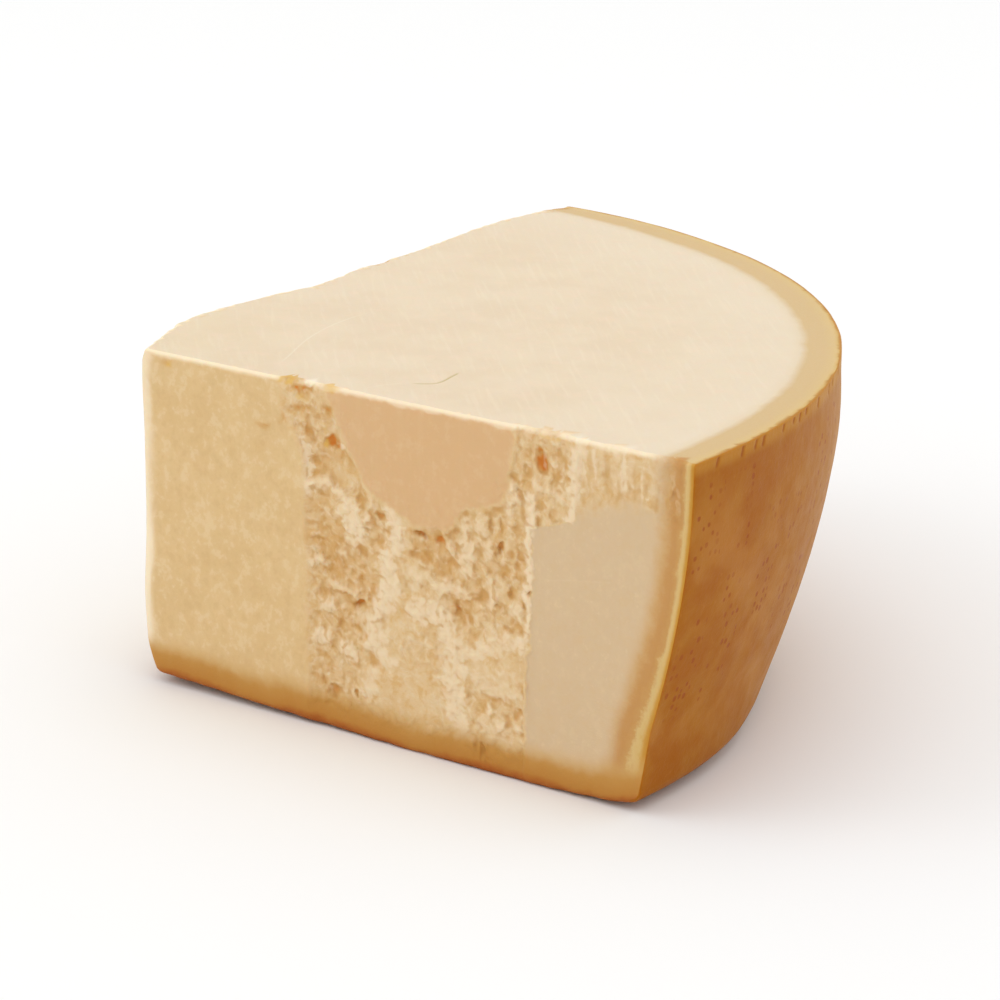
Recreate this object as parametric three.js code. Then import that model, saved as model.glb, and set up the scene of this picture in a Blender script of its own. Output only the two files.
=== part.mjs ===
import * as THREE from "three";

// A block of hard, long-aged grating cheese: an eighth of a drum, which is a
// quarter of the drum's circle at half of its height. Millimetres, +Z up.
// The block lies on the drum's flat rind face, which is sunk a little round
// the drum's middle and rises to its rim, so it rests on a broad ring. Its top
// is the saw-flat cut at half height, its round side is the barrel-shaped
// rind, and its two upright cuts are part knife-smooth, part split open along
// the grain of the paste.
//
// Drawing frame used below: the front cut lies in the plane y = 0 and runs
// along +X, the paste lies on its +Y side, and the block rests on z = 0. At
// the end the block is moved so that the middle of its footprint is the
// origin.

// ---------------------------------------------------------------- sizes
const DRUM_RADIUS = 215.3;    // rind radius at the level of the top cut
const BLOCK_HEIGHT = 98.5;    // half of the drum's height
const AXIS_X = -4.75;         // drum axis, measured in the drawing frame
const AXIS_Y = 2.2;
const TOP_RISE_X = 0.0009;    // the top cut is slightly out of level
const TOP_RISE_Y = 0.0078;
const BARREL_SPAN = 97;       // height over which the rind draws in,
const BARREL_DROP = 20.9;     // how far it does so,
const BARREL_POWER = 2;       // and how late
const RIM_LOW = 3.7;          // height of the flat rind's outer rim
const HEEL_RADIUS = 2.5;      // rounding between round rind and that rim
const FOOT_OUT = 3.6;         // the rind's foot stands out by the front cut
const REST_INNER = 115;       // the ring of the flat rind that touches down
const REST_OUTER = 158;
const MIDDLE_SINK = 2.6;      // rise of the flat rind towards the drum's middle
const CUT_LOW = 1.5;          // the cut faces are measured from this height
const NOSE_FRONT_X = 20;      // where the blunt nose meets the front cut
const NOSE_BACK = [8.2, 25.3];// where the nose meets the back cut
const BACK_ANGLE = 91.2;      // direction of the back cut, degrees from +X
const BACK_SWELL = 3.2;       // how far the back cut swells out of its plane,
const BACK_SWELL_AT = 153;    // and how far from the nose it does so
const CUT_EDGE_WEAR = 1.3;    // crushed edge where a cut meets the top cut
const CUT_HEEL_WEAR = 2.2;    // worn edge where a cut meets the flat rind

// front cut: the split band between its two knife-smooth panels
const SPLIT_LEFT = 79.5;      // upright knife line, left of the split band
const SPLIT_RIGHT = 157;      // upright knife line, right of it
const SPLIT_DEPTH = 2.4;      // mean depth of the split paste
const CRUMB_COARSE = 9;       // size of the lumps in the split paste
const CRUMB_FINE = 4.6;
const CRUMB_RELIEF = 2.0;     // their height
const TONGUE_LOW = 63.5;      // lowest point of the smooth tongue under the top edge
const TONGUE_RECESS = 0.9;
const PANEL_RECESS = 1.5;     // right-hand smooth panel, behind the left one
const STEP_RECESS = 3.0;      // chipped bay under the top edge
const FLUTE_PITCH = 5.2;      // upright flutes right of that bay
const FLUTE_RELIEF = 0.7;

// ---------------------------------------------------------------- mesh steps
const FRONT_STEPS = 54;
const ROUND_STEPS = 44;
const BACK_STEPS = 44;
const NOSE_STEPS = 6;
const ROW_STEPS = 22;         // rows between the two worn edges

// ---------------------------------------------------------------- helpers
const clamp = (v, a, b) => Math.min(b, Math.max(a, v));
const ramp = (a, b, v) => {
  const t = clamp((v - a) / (b - a), 0, 1);
  return t * t * (3 - 2 * t);
};
const mix = (a, b, t) => a + (b - a) * t;

// repeatable smooth noise in the plane, about -1 to 1
function hash(i, j, seed) {
  let h = (i * 374761393 + j * 668265263 + seed * 974634777) | 0;
  h = Math.imul(h ^ (h >>> 13), 1274126177);
  h ^= h >>> 16;
  return ((h >>> 0) / 4294967295) * 2 - 1;
}
function noise(x, y, seed) {
  const i = Math.floor(x), j = Math.floor(y);
  const u = ramp(0, 1, x - i), v = ramp(0, 1, y - j);
  return mix(
    mix(hash(i, j, seed), hash(i + 1, j, seed), u),
    mix(hash(i, j + 1, seed), hash(i + 1, j + 1, seed), u),
    v
  );
}
const lumps = (a, z, seed) =>
  CRUMB_RELIEF * (0.62 * noise(a / CRUMB_COARSE, z / CRUMB_COARSE, seed) +
    0.38 * noise(a / CRUMB_FINE, z / CRUMB_FINE, seed + 7));

// how far the back cut swells out (+) or in (-), q measured from the nose
const hump = (q, at, wide) => Math.exp(-Math.pow((q - at) / wide, 2));
const backBow = (q) => 1.2 * hump(q, 14, 24) * ramp(0, 8, q) - 1.3 * hump(q, 62, 14) +
  0.8 * hump(q, 93, 12) + BACK_SWELL * hump(q, BACK_SWELL_AT, 36) * ramp(192, 180, q);

// height of the top cut over a point; it rises a little where the back swells
function topAt(x, y) {
  const dx = x - NOSE_BACK[0], dy = y - NOSE_BACK[1];
  const q = dx * backDir[0] + dy * backDir[1], p = dx * backIn[0] + dy * backIn[1];
  return BLOCK_HEIGHT + TOP_RISE_X * (x - 110) + TOP_RISE_Y * (y - 70) +
    0.33 * backBow(q) * hump(p, 0, 34);
}

// how far the rind's foot stands out by the front cut, at an angle round the
// drum in degrees
const footOut = (a) => FOOT_OUT / (1 + Math.exp((a - 18.5) / 3)) - 0.2 * hump(a, 32, 9);

// height of the flat rind face over a point
function lowAt(x, y) {
  const q = Math.hypot(x - AXIS_X, y - AXIS_Y);
  const a = (Math.atan2(y - AXIS_Y, x - AXIS_X) * 180) / Math.PI;
  const out = q - 0.9 * footOut(a);
  return MIDDLE_SINK * Math.pow(Math.max(REST_INNER - q, 0) / 85, 1.15) +
    1.75 * Math.pow(Math.max(out - REST_OUTER, 0) / 32, 1.3) +
    2 * Math.pow(Math.max(out - 184, 0) / 14, 2) - 0.25 * hump(a, 0, 15) * ramp(165, 192, q);
}

// rind radius at a height, and how far it is out of round at an angle
function rindRadius(z) {
  const s = clamp((BLOCK_HEIGHT - z) / BARREL_SPAN, 0, 1);
  let r = DRUM_RADIUS - BARREL_DROP * Math.pow(s, BARREL_POWER);
  const k = RIM_LOW + HEEL_RADIUS - z;
  if (k > 0) r -= HEEL_RADIUS - Math.sqrt(Math.max(HEEL_RADIUS * HEEL_RADIUS - k * k, 0));
  return r;
}
function outOfRound(f, z) {
  const a = (f * 180) / Math.PI;
  return footOut(a) * Math.pow(clamp((23.5 - z) / 20, 0, 1), 1.15) -
    1.0 * Math.exp(-Math.pow((a - 60) / 14, 2)) * ramp(36, 9, z) +
    1.0 * Math.exp(-Math.pow((a - 38) / 20, 2)) * ramp(7.5, 41.5, z) * ramp(93.5, 73.5, z) -
    0.5 * Math.exp(-Math.pow((a - 45) / 14, 2)) * ramp(81.5, 93.5, z);
}

// ---------------------------------------------------------------- front cut
// how deep the front cut lies behind y = 0 at a place on it
function frontRelief(x, z) {
  const left = SPLIT_LEFT - 9.5 * ramp(76, 88, z);
  // smooth tongue that hangs from the top edge into the split band
  const below = x < 119
    ? TONGUE_LOW + 27 * Math.pow((119 - x) / 31, 1.7)
    : TONGUE_LOW + 17 * Math.pow(Math.max(x - 128, 0) / 22, 1.3);
  const tongue = ramp(-2, 3, z - below) * ramp(151.5, 149, x) * ramp(86, 90, x);
  const band = ramp(-0.8, 1.2, x - left) * ramp(1.2, -0.8, x - SPLIT_RIGHT) * (1 - tongue);
  // two ledges that run down through the split paste
  const ledgeA = x - mix(96, 104, ramp(66, 20, z)) - 3 * noise(z / 11, 0, 3);
  const ledgeB = x - mix(112, 139, ramp(62, 2, z)) - 3 * noise(z / 9, 5, 4);
  const ledges = 1.5 * Math.exp(-ledgeA * ledgeA / 14) + 1.9 * Math.exp(-ledgeB * ledgeB / 14);
  const split = SPLIT_DEPTH - lumps(x, z, 11) - ledges * ramp(80, 64, z);
  const panel = ramp(-0.5, 1.5, x - SPLIT_RIGHT) * ramp(80, 76, z);
  const bay = ramp(150, 153, x) * ramp(172, 170, x) * ramp(76, 82, z);
  const fluted = ramp(170, 173, x) * ramp(207, 203, x) * ramp(76, 81, z);
  const flutes = 0.9 + FLUTE_RELIEF * Math.sin((x * 2 * Math.PI) / FLUTE_PITCH + 2 * noise(x / 9, 2, 5));
  let d = TONGUE_RECESS * tongue;
  d = mix(d, split, band * (1 - bay));
  d = mix(d, PANEL_RECESS, panel);
  d = mix(d, STEP_RECESS - 0.6 * lumps(x, z, 17), bay);
  d = mix(d, flutes, fluted);
  return Math.max(d, 0);
}

// ---------------------------------------------------------------- back cut
// the same kind of cut, split along its lower middle; a runs from the round
// side to the nose
function backRelief(a, z) {
  const left = 48 + 6 * noise(z / 26, 3, 21);
  const right = 121 + 5 * noise(z / 22, 8, 22) - 16 * ramp(60, 92, z);
  const roof = 84 - 22 * Math.pow(Math.abs(a - 92) / 46, 2);
  const band = ramp(-1, 1.4, a - left) * ramp(1.4, -1, a - right) * ramp(3, -3, z - roof);
  const ledge = a - mix(70, 98, ramp(80, 6, z)) - 4 * noise(z / 10, 1, 23);
  const split = SPLIT_DEPTH - lumps(a, z, 31) - 1.8 * Math.exp(-ledge * ledge / 16);
  const panel = 0.9 * ramp(-1, 2, a - right);
  return Math.max(mix(panel, split, band), 0);
}

// the nose is a narrow broken strip
const noseRelief = (a, z) => 0.7 + 0.8 * noise(a / 8, z / 17, 41);

// ---------------------------------------------------------------- outline of one row
const backDir = [Math.cos((BACK_ANGLE * Math.PI) / 180), Math.sin((BACK_ANGLE * Math.PI) / 180)];
const backIn = [backDir[1], -backDir[0]];                       // into the paste
const noseVec = [NOSE_FRONT_X - NOSE_BACK[0], -NOSE_BACK[1]];
const noseLen = Math.hypot(noseVec[0], noseVec[1]);
const noseDir = [noseVec[0] / noseLen, noseVec[1] / noseLen];   // from back to front
const noseIn = [-noseDir[1], noseDir[0]];

function meet(p, d, q, e) {
  const k = ((q[0] - p[0]) * e[1] - (q[1] - p[1]) * e[0]) / (d[0] * e[1] - d[1] * e[0]);
  return [p[0] + k * d[0], p[1] + k * d[1]];
}
function meetRind(p, d, r) {
  const wx = p[0] - AXIS_X, wy = p[1] - AXIS_Y;
  const b = wx * d[0] + wy * d[1];
  const c = wx * wx + wy * wy - r * r;
  const k = -b + Math.sqrt(b * b - c);
  return [p[0] + k * d[0], p[1] + k * d[1]];
}

// one closed outline at a share w of the height, anticlockwise from above,
// starting at the front end of the nose
function outline(w) {
  const z = w * BLOCK_HEIGHT;
  const up = w * (BLOCK_HEIGHT - CUT_LOW);
  let wear = 0;
  if (z < CUT_HEEL_WEAR) {
    const k = CUT_HEEL_WEAR - z;
    wear = CUT_HEEL_WEAR - Math.sqrt(CUT_HEEL_WEAR * CUT_HEEL_WEAR - k * k);
  } else if (z > BLOCK_HEIGHT - CUT_EDGE_WEAR) {
    const k = z - (BLOCK_HEIGHT - CUT_EDGE_WEAR);
    wear = CUT_EDGE_WEAR - Math.sqrt(CUT_EDGE_WEAR * CUT_EDGE_WEAR - k * k);
  }
  const frontP = [0, wear], frontD = [1, 0];
  const backP = [NOSE_BACK[0] + backIn[0] * wear, NOSE_BACK[1] + backIn[1] * wear];
  // the nose is worn back at its foot and stands out a little above that
  const foot = 3 * Math.pow(clamp((11.5 - z) / 10, 0, 1), 1.6) - 0.8 * Math.exp(-Math.pow((z - 25) / 14, 2));
  const noseP = [NOSE_BACK[0] + noseIn[0] * (wear + foot), NOSE_BACK[1] + noseIn[1] * (wear + foot)];
  const A = meet(frontP, frontD, noseP, noseDir);
  const rimZ = RIM_LOW + w * (BLOCK_HEIGHT - RIM_LOW);
  const r = rindRadius(rimZ);
  const B = meetRind(frontP, frontD, r + outOfRound(0, rimZ));
  const C = meetRind(backP, backDir, r);
  const N = meet(backP, backDir, noseP, noseDir);
  const pts = [];
  for (let i = 0; i < FRONT_STEPS; i++) {
    const u = i / FRONT_STEPS;
    const x = mix(A[0], B[0], u);
    const fade = ramp(A[0], A[0] + 4, x) * ramp(B[0], B[0] - 4, x);
    pts.push([x, wear + frontRelief(x, up) * fade]);
  }
  const fb = Math.atan2(B[1] - AXIS_Y, B[0] - AXIS_X);
  const fc = Math.atan2(C[1] - AXIS_Y, C[0] - AXIS_X);
  for (let i = 0; i < ROUND_STEPS; i++) {
    const f = mix(fb, fc, i / ROUND_STEPS);
    const q = r + outOfRound(f, rimZ);
    pts.push([AXIS_X + q * Math.cos(f), AXIS_Y + q * Math.sin(f)]);
  }
  const backLen = Math.hypot(N[0] - C[0], N[1] - C[1]);
  for (let i = 0; i < BACK_STEPS; i++) {
    const u = i / BACK_STEPS, a = u * backLen;
    const fade = ramp(0, 4, a) * ramp(backLen, backLen - 4, a);
    const d = backRelief(a, up) * fade - backBow(backLen - a);
    pts.push([mix(C[0], N[0], u) + backIn[0] * d, mix(C[1], N[1], u) + backIn[1] * d]);
  }
  for (let i = 0; i < NOSE_STEPS; i++) {
    const u = i / NOSE_STEPS, a = u * noseLen;
    const fade = ramp(0, 5, a) * ramp(noseLen, noseLen - 5, a);
    const d = noseRelief(a, up) * fade;
    pts.push([mix(N[0], A[0], u) + noseIn[0] * d, mix(N[1], A[1], u) + noseIn[1] * d]);
  }
  return pts;
}

// ---------------------------------------------------------------- the block
const shares = [];
for (const z of [0, 0.35, 1.1]) shares.push((z * CUT_HEEL_WEAR) / 1.5 / BLOCK_HEIGHT);
for (let i = 0; i <= ROW_STEPS; i++)
  shares.push(mix(CUT_HEEL_WEAR, BLOCK_HEIGHT - CUT_EDGE_WEAR, i / ROW_STEPS) / BLOCK_HEIGHT);
shares.push(1 - (0.35 * CUT_EDGE_WEAR) / BLOCK_HEIGHT, 1);

const columns = FRONT_STEPS + ROUND_STEPS + BACK_STEPS + NOSE_STEPS;
const position = [];
const index = [];
for (const w of shares)
  for (const [x, y] of outline(w)) position.push(x, y, mix(lowAt(x, y), topAt(x, y), w));
for (let j = 0; j + 1 < shares.length; j++)
  for (let i = 0; i < columns; i++) {
    const a = j * columns + i, b = j * columns + ((i + 1) % columns);
    const c = b + columns, d = a + columns;
    if ((i + j) % 2) index.push(a, b, c, a, c, d);
    else index.push(a, b, d, b, c, d);
  }
// the top cut is a fan round its middle; the flat rind face is drawn inwards
// ring by ring, because it isn't quite flat
const middle = [96, 92];
const high = position.length / 3;
position.push(middle[0], middle[1], topAt(middle[0], middle[1]));
const last = (shares.length - 1) * columns;
for (let i = 0; i < columns; i++) index.push(high, last + i, last + ((i + 1) % columns));
let outer = 0;
for (const t of [0.045, 0.1, 0.17, 0.26, 0.38, 0.55, 0.75]) {
  const inner = position.length / 3;
  for (let i = 0; i < columns; i++) {
    const x = mix(position[3 * i], middle[0], t), y = mix(position[3 * i + 1], middle[1], t);
    position.push(x, y, lowAt(x, y));
  }
  for (let i = 0; i < columns; i++) {
    const k = (i + 1) % columns;
    index.push(outer + i, inner + i, inner + k, outer + i, inner + k, outer + k);
  }
  outer = inner;
}
const low = position.length / 3;
position.push(middle[0], middle[1], lowAt(middle[0], middle[1]));
for (let i = 0; i < columns; i++) index.push(low, outer + ((i + 1) % columns), outer + i);

const geometry = new THREE.BufferGeometry();
geometry.setAttribute("position", new THREE.Float32BufferAttribute(position, 3));
geometry.setIndex(index);
geometry.computeBoundingBox();
const box = geometry.boundingBox;
geometry.translate(-(box.min.x + box.max.x) / 2, -(box.min.y + box.max.y) / 2, -box.min.z);
geometry.computeVertexNormals();

const paste = new THREE.MeshStandardMaterial({ color: 0xe4cb9c, roughness: 0.62, metalness: 0 });
const chunk = new THREE.Mesh(geometry, paste);
chunk.name = "cheese_chunk";

const block = new THREE.Group();
block.add(chunk);
export default block;
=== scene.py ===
"""A block of hard grating cheese: an eighth of a drum, with a level cut top, split upright cuts and a barrel-shaped rind.

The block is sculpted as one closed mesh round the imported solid. Sizes are millimetres in the drawing frame
(front cut in the plane y = 0, flat rind face at z = 0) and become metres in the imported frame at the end."""

import math

import bpy
import numpy as np
from mathutils import Matrix, Vector
from mathutils.geometry import delaunay_2d_cdt


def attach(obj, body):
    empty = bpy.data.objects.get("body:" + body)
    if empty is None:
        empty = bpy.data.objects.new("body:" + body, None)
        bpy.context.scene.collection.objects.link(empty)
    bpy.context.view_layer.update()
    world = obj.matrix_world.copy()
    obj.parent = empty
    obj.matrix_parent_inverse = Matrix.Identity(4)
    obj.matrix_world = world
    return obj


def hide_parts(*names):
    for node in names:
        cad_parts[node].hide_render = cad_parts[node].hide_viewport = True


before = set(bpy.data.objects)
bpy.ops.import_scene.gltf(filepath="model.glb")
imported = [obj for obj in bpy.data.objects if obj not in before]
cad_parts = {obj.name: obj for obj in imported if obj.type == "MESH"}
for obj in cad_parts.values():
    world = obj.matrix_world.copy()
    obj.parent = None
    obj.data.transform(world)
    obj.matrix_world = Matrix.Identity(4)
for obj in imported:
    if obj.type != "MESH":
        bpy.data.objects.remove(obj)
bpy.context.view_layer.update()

# ------------------------------------------------------------------ sizes
H = 97.0                     # height of the cuts, half of the drum's
LIFT = 1.5                   # they start this far above the resting plane
R0 = 215.3                   # rind radius at the top cut
AX, AY = -4.75, 2.2          # drum axis
DROP, POWER, HEEL, RIM = 20.9, 2.0, 2.5, 2.2
NOSE_X = 20.0                # front end of the blunt nose
NX, NY = 8.2, 25.3           # back end of it
BACK_DEG = 91.2
SHIFT = (106.085, 108.6557)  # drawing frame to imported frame
SHEAR = -0.796               # split relief is undercut along this slope
TRIANGLES = 192000


def ramp(a, b, v):
    t = np.clip((v - a) / (b - a), 0.0, 1.0)
    return t * t * (3.0 - 2.0 * t)


def mix(a, b, t):
    return a + (b - a) * t


# ------------------------------------------------------------------ repeatable noise
def hsh(i, j, seed):
    h = (i * 374761393 + j * 668265263 + seed * 974634777) & 0xFFFFFFFF
    h = ((h ^ (h >> 13)) * 1274126177) & 0xFFFFFFFF
    return ((h ^ (h >> 16)) & 0xFFFFFFFF) / 4294967296.0


def gnoise(x, y, seed):
    """Smooth gradient noise, about -1 to 1."""
    x, y = np.broadcast_arrays(np.asarray(x, float), np.asarray(y, float))
    i, j = np.floor(x).astype(np.int64), np.floor(y).astype(np.int64)
    fx, fy = x - i, y - j
    u = fx * fx * fx * (fx * (fx * 6 - 15) + 10)
    v = fy * fy * fy * (fy * (fy * 6 - 15) + 10)

    def g(di, dj):
        a = hsh(i + di, j + dj, seed) * 2 * np.pi
        return np.cos(a) * (fx - di) + np.sin(a) * (fy - dj)

    return 1.55 * mix(mix(g(0, 0), g(1, 0), u), mix(g(0, 1), g(1, 1), u), v)


def fbm(x, y, seed, octaves=3, gain=0.5):
    out, amp, tot = 0.0, 1.0, 0.0
    for k in range(octaves):
        out = out + amp * gnoise(x * 2.03**k + 5.2 * k, y * 2.03**k - 3.7 * k, seed + 31 * k)
        tot += amp
        amp *= gain
    return out / tot


def cells(x, y, seed):
    """Distance to the nearest and the second nearest of scattered points, and a number for the nearest one."""
    x, y = np.broadcast_arrays(np.asarray(x, float), np.asarray(y, float))
    i, j = np.floor(x).astype(np.int64), np.floor(y).astype(np.int64)
    f1 = np.full(x.shape, 9.0)
    f2 = np.full(x.shape, 9.0)
    who = np.zeros(x.shape)
    for di in (-1, 0, 1):
        for dj in (-1, 0, 1):
            ci, cj = i + di, j + dj
            px = ci + 0.5 + 0.9 * (hsh(ci, cj, seed) - 0.5)
            py = cj + 0.5 + 0.9 * (hsh(ci, cj, seed + 1) - 0.5)
            d = np.hypot(x - px, y - py)
            near = d < f1
            f2 = np.where(near, f1, np.minimum(f2, d))
            who = np.where(near, hsh(ci, cj, seed + 2), who)
            f1 = np.where(near, d, f1)
    return f1, f2, who


def to_line(x, z, pts):
    """Distance to a bent line, and how far along it the nearest place is, 0 to 1."""
    best = np.full(np.shape(x), 1e9)
    along = np.zeros(np.shape(x))
    pts = np.asarray(pts, float)
    run = np.r_[0.0, np.cumsum(np.hypot(*(pts[1:] - pts[:-1]).T))]
    for k in range(len(pts) - 1):
        (ax, az), (bx, bz) = pts[k], pts[k + 1]
        ex, ez = bx - ax, bz - az
        t = np.clip(((x - ax) * ex + (z - az) * ez) / (ex * ex + ez * ez), 0, 1)
        d = np.hypot(x - ax - t * ex, z - az - t * ez)
        near = d < best
        best = np.where(near, d, best)
        along = np.where(near, (run[k] + t * (run[k + 1] - run[k])) / run[-1], along)
    return best, along


def pit(x, z, cx, cz, rx, rz, turn=0.0):
    """1 inside a rough oval, 0 outside it."""
    a = math.radians(turn)
    u = (x - cx) * math.cos(a) + (z - cz) * math.sin(a)
    v = -(x - cx) * math.sin(a) + (z - cz) * math.cos(a)
    return ramp(1.3, 0.25, np.hypot(u / rx, v / rz))


def blur(m, sx, sz):
    """Gaussian blur of an evenly spaced map, sigma in samples."""
    for axis, s in ((0, sz), (1, sx)):
        n = int(3 * s) + 1
        k = np.exp(-0.5 * (np.arange(-n, n + 1) / s) ** 2)
        k /= k.sum()
        pad = [(0, 0), (0, 0)]
        pad[axis] = (n, n)
        p = np.pad(m, pad, mode="edge")
        out = np.zeros_like(m)
        for i, w in enumerate(k):
            sl = [slice(None), slice(None)]
            sl[axis] = slice(i, i + m.shape[axis])
            out += w * p[tuple(sl)]
        m = out
    return m


def levels(x, z, spots, reach):
    """Broad relief through a few named heights."""
    num = np.zeros(np.shape(x))
    den = np.full(np.shape(x), 1e-9)
    for cx, cz, v in spots:
        w = np.exp(-((x - cx) ** 2 + (z - cz) ** 2) / (2 * reach * reach))
        num += w * v
        den += w
    return num / den


# ------------------------------------------------------------------ the block's outline
def top_at(x, y):
    wave = 0.16 * gnoise(x / 55, y / 55, 901) + 0.05 * gnoise(x / 17, y / 17, 902)
    q = (x - NX) * bdir[0] + (y - NY) * bdir[1]
    p = (x - NX) * bin_[0] + (y - NY) * bin_[1]
    return H + 0.0009 * (x - 110) + 0.0078 * (y - 70) + wave + 0.33 * back_bow(q) * np.exp(-((p / 34) ** 2))


def back_bow(q):
    """How far the back cut swells out of its plane, q measured from the nose."""
    return (
        1.2 * np.exp(-(((q - 14) / 24) ** 2)) * ramp(0, 8, q) - 1.3 * np.exp(-(((q - 62) / 14) ** 2)) + 0.8 * np.exp(-(((q - 93) / 12) ** 2))
        + 3.2 * np.exp(-(((q - 153) / 36) ** 2)) * ramp(192, 180, q)
    )


def low_at(x, y):
    """The flat rind face, sunk round the drum's middle and rising to its rim."""
    q = np.hypot(x - AX, y - AY)
    a = np.degrees(np.arctan2(y - AY, x - AX))
    out = q - 0.9 * foot_out(a)
    return (
        -LIFT + 2.6 * (np.maximum(115 - q, 0) / 85) ** 1.15 + 1.75 * (np.maximum(out - 158, 0) / 32) ** 1.3 + 2 * (np.maximum(out - 184, 0) / 14) ** 2
        - 0.25 * np.exp(-((a / 15) ** 2)) * ramp(165, 192, q)
    )


def foot_out(a):
    """How far the rind's foot stands out by the front cut, at an angle round the drum in degrees."""
    return 3.6 / (1 + np.exp((a - 18.5) / 3)) - 0.2 * np.exp(-(((a - 32) / 9) ** 2))


def rind_radius(z):
    s = np.clip((H - z) / H, 0, 1)
    k = np.clip(RIM + HEEL - z, 0, HEEL)
    return R0 - DROP * s**POWER - (HEEL - np.sqrt(np.maximum(HEEL * HEEL - k * k, 0)))


def out_of_round(ph, z):
    a = np.degrees(ph)
    return (
        foot_out(a) * np.clip((22 - z) / 20, 0, 1) ** 1.15 - 1.0 * np.exp(-(((a - 60) / 14) ** 2)) * ramp(34.5, 7.5, z)
        + 1.0 * np.exp(-(((a - 38) / 20) ** 2)) * ramp(6, 40, z) * ramp(92, 72, z) - 0.5 * np.exp(-(((a - 45) / 14) ** 2)) * ramp(80, 92, z)
    )


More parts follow.
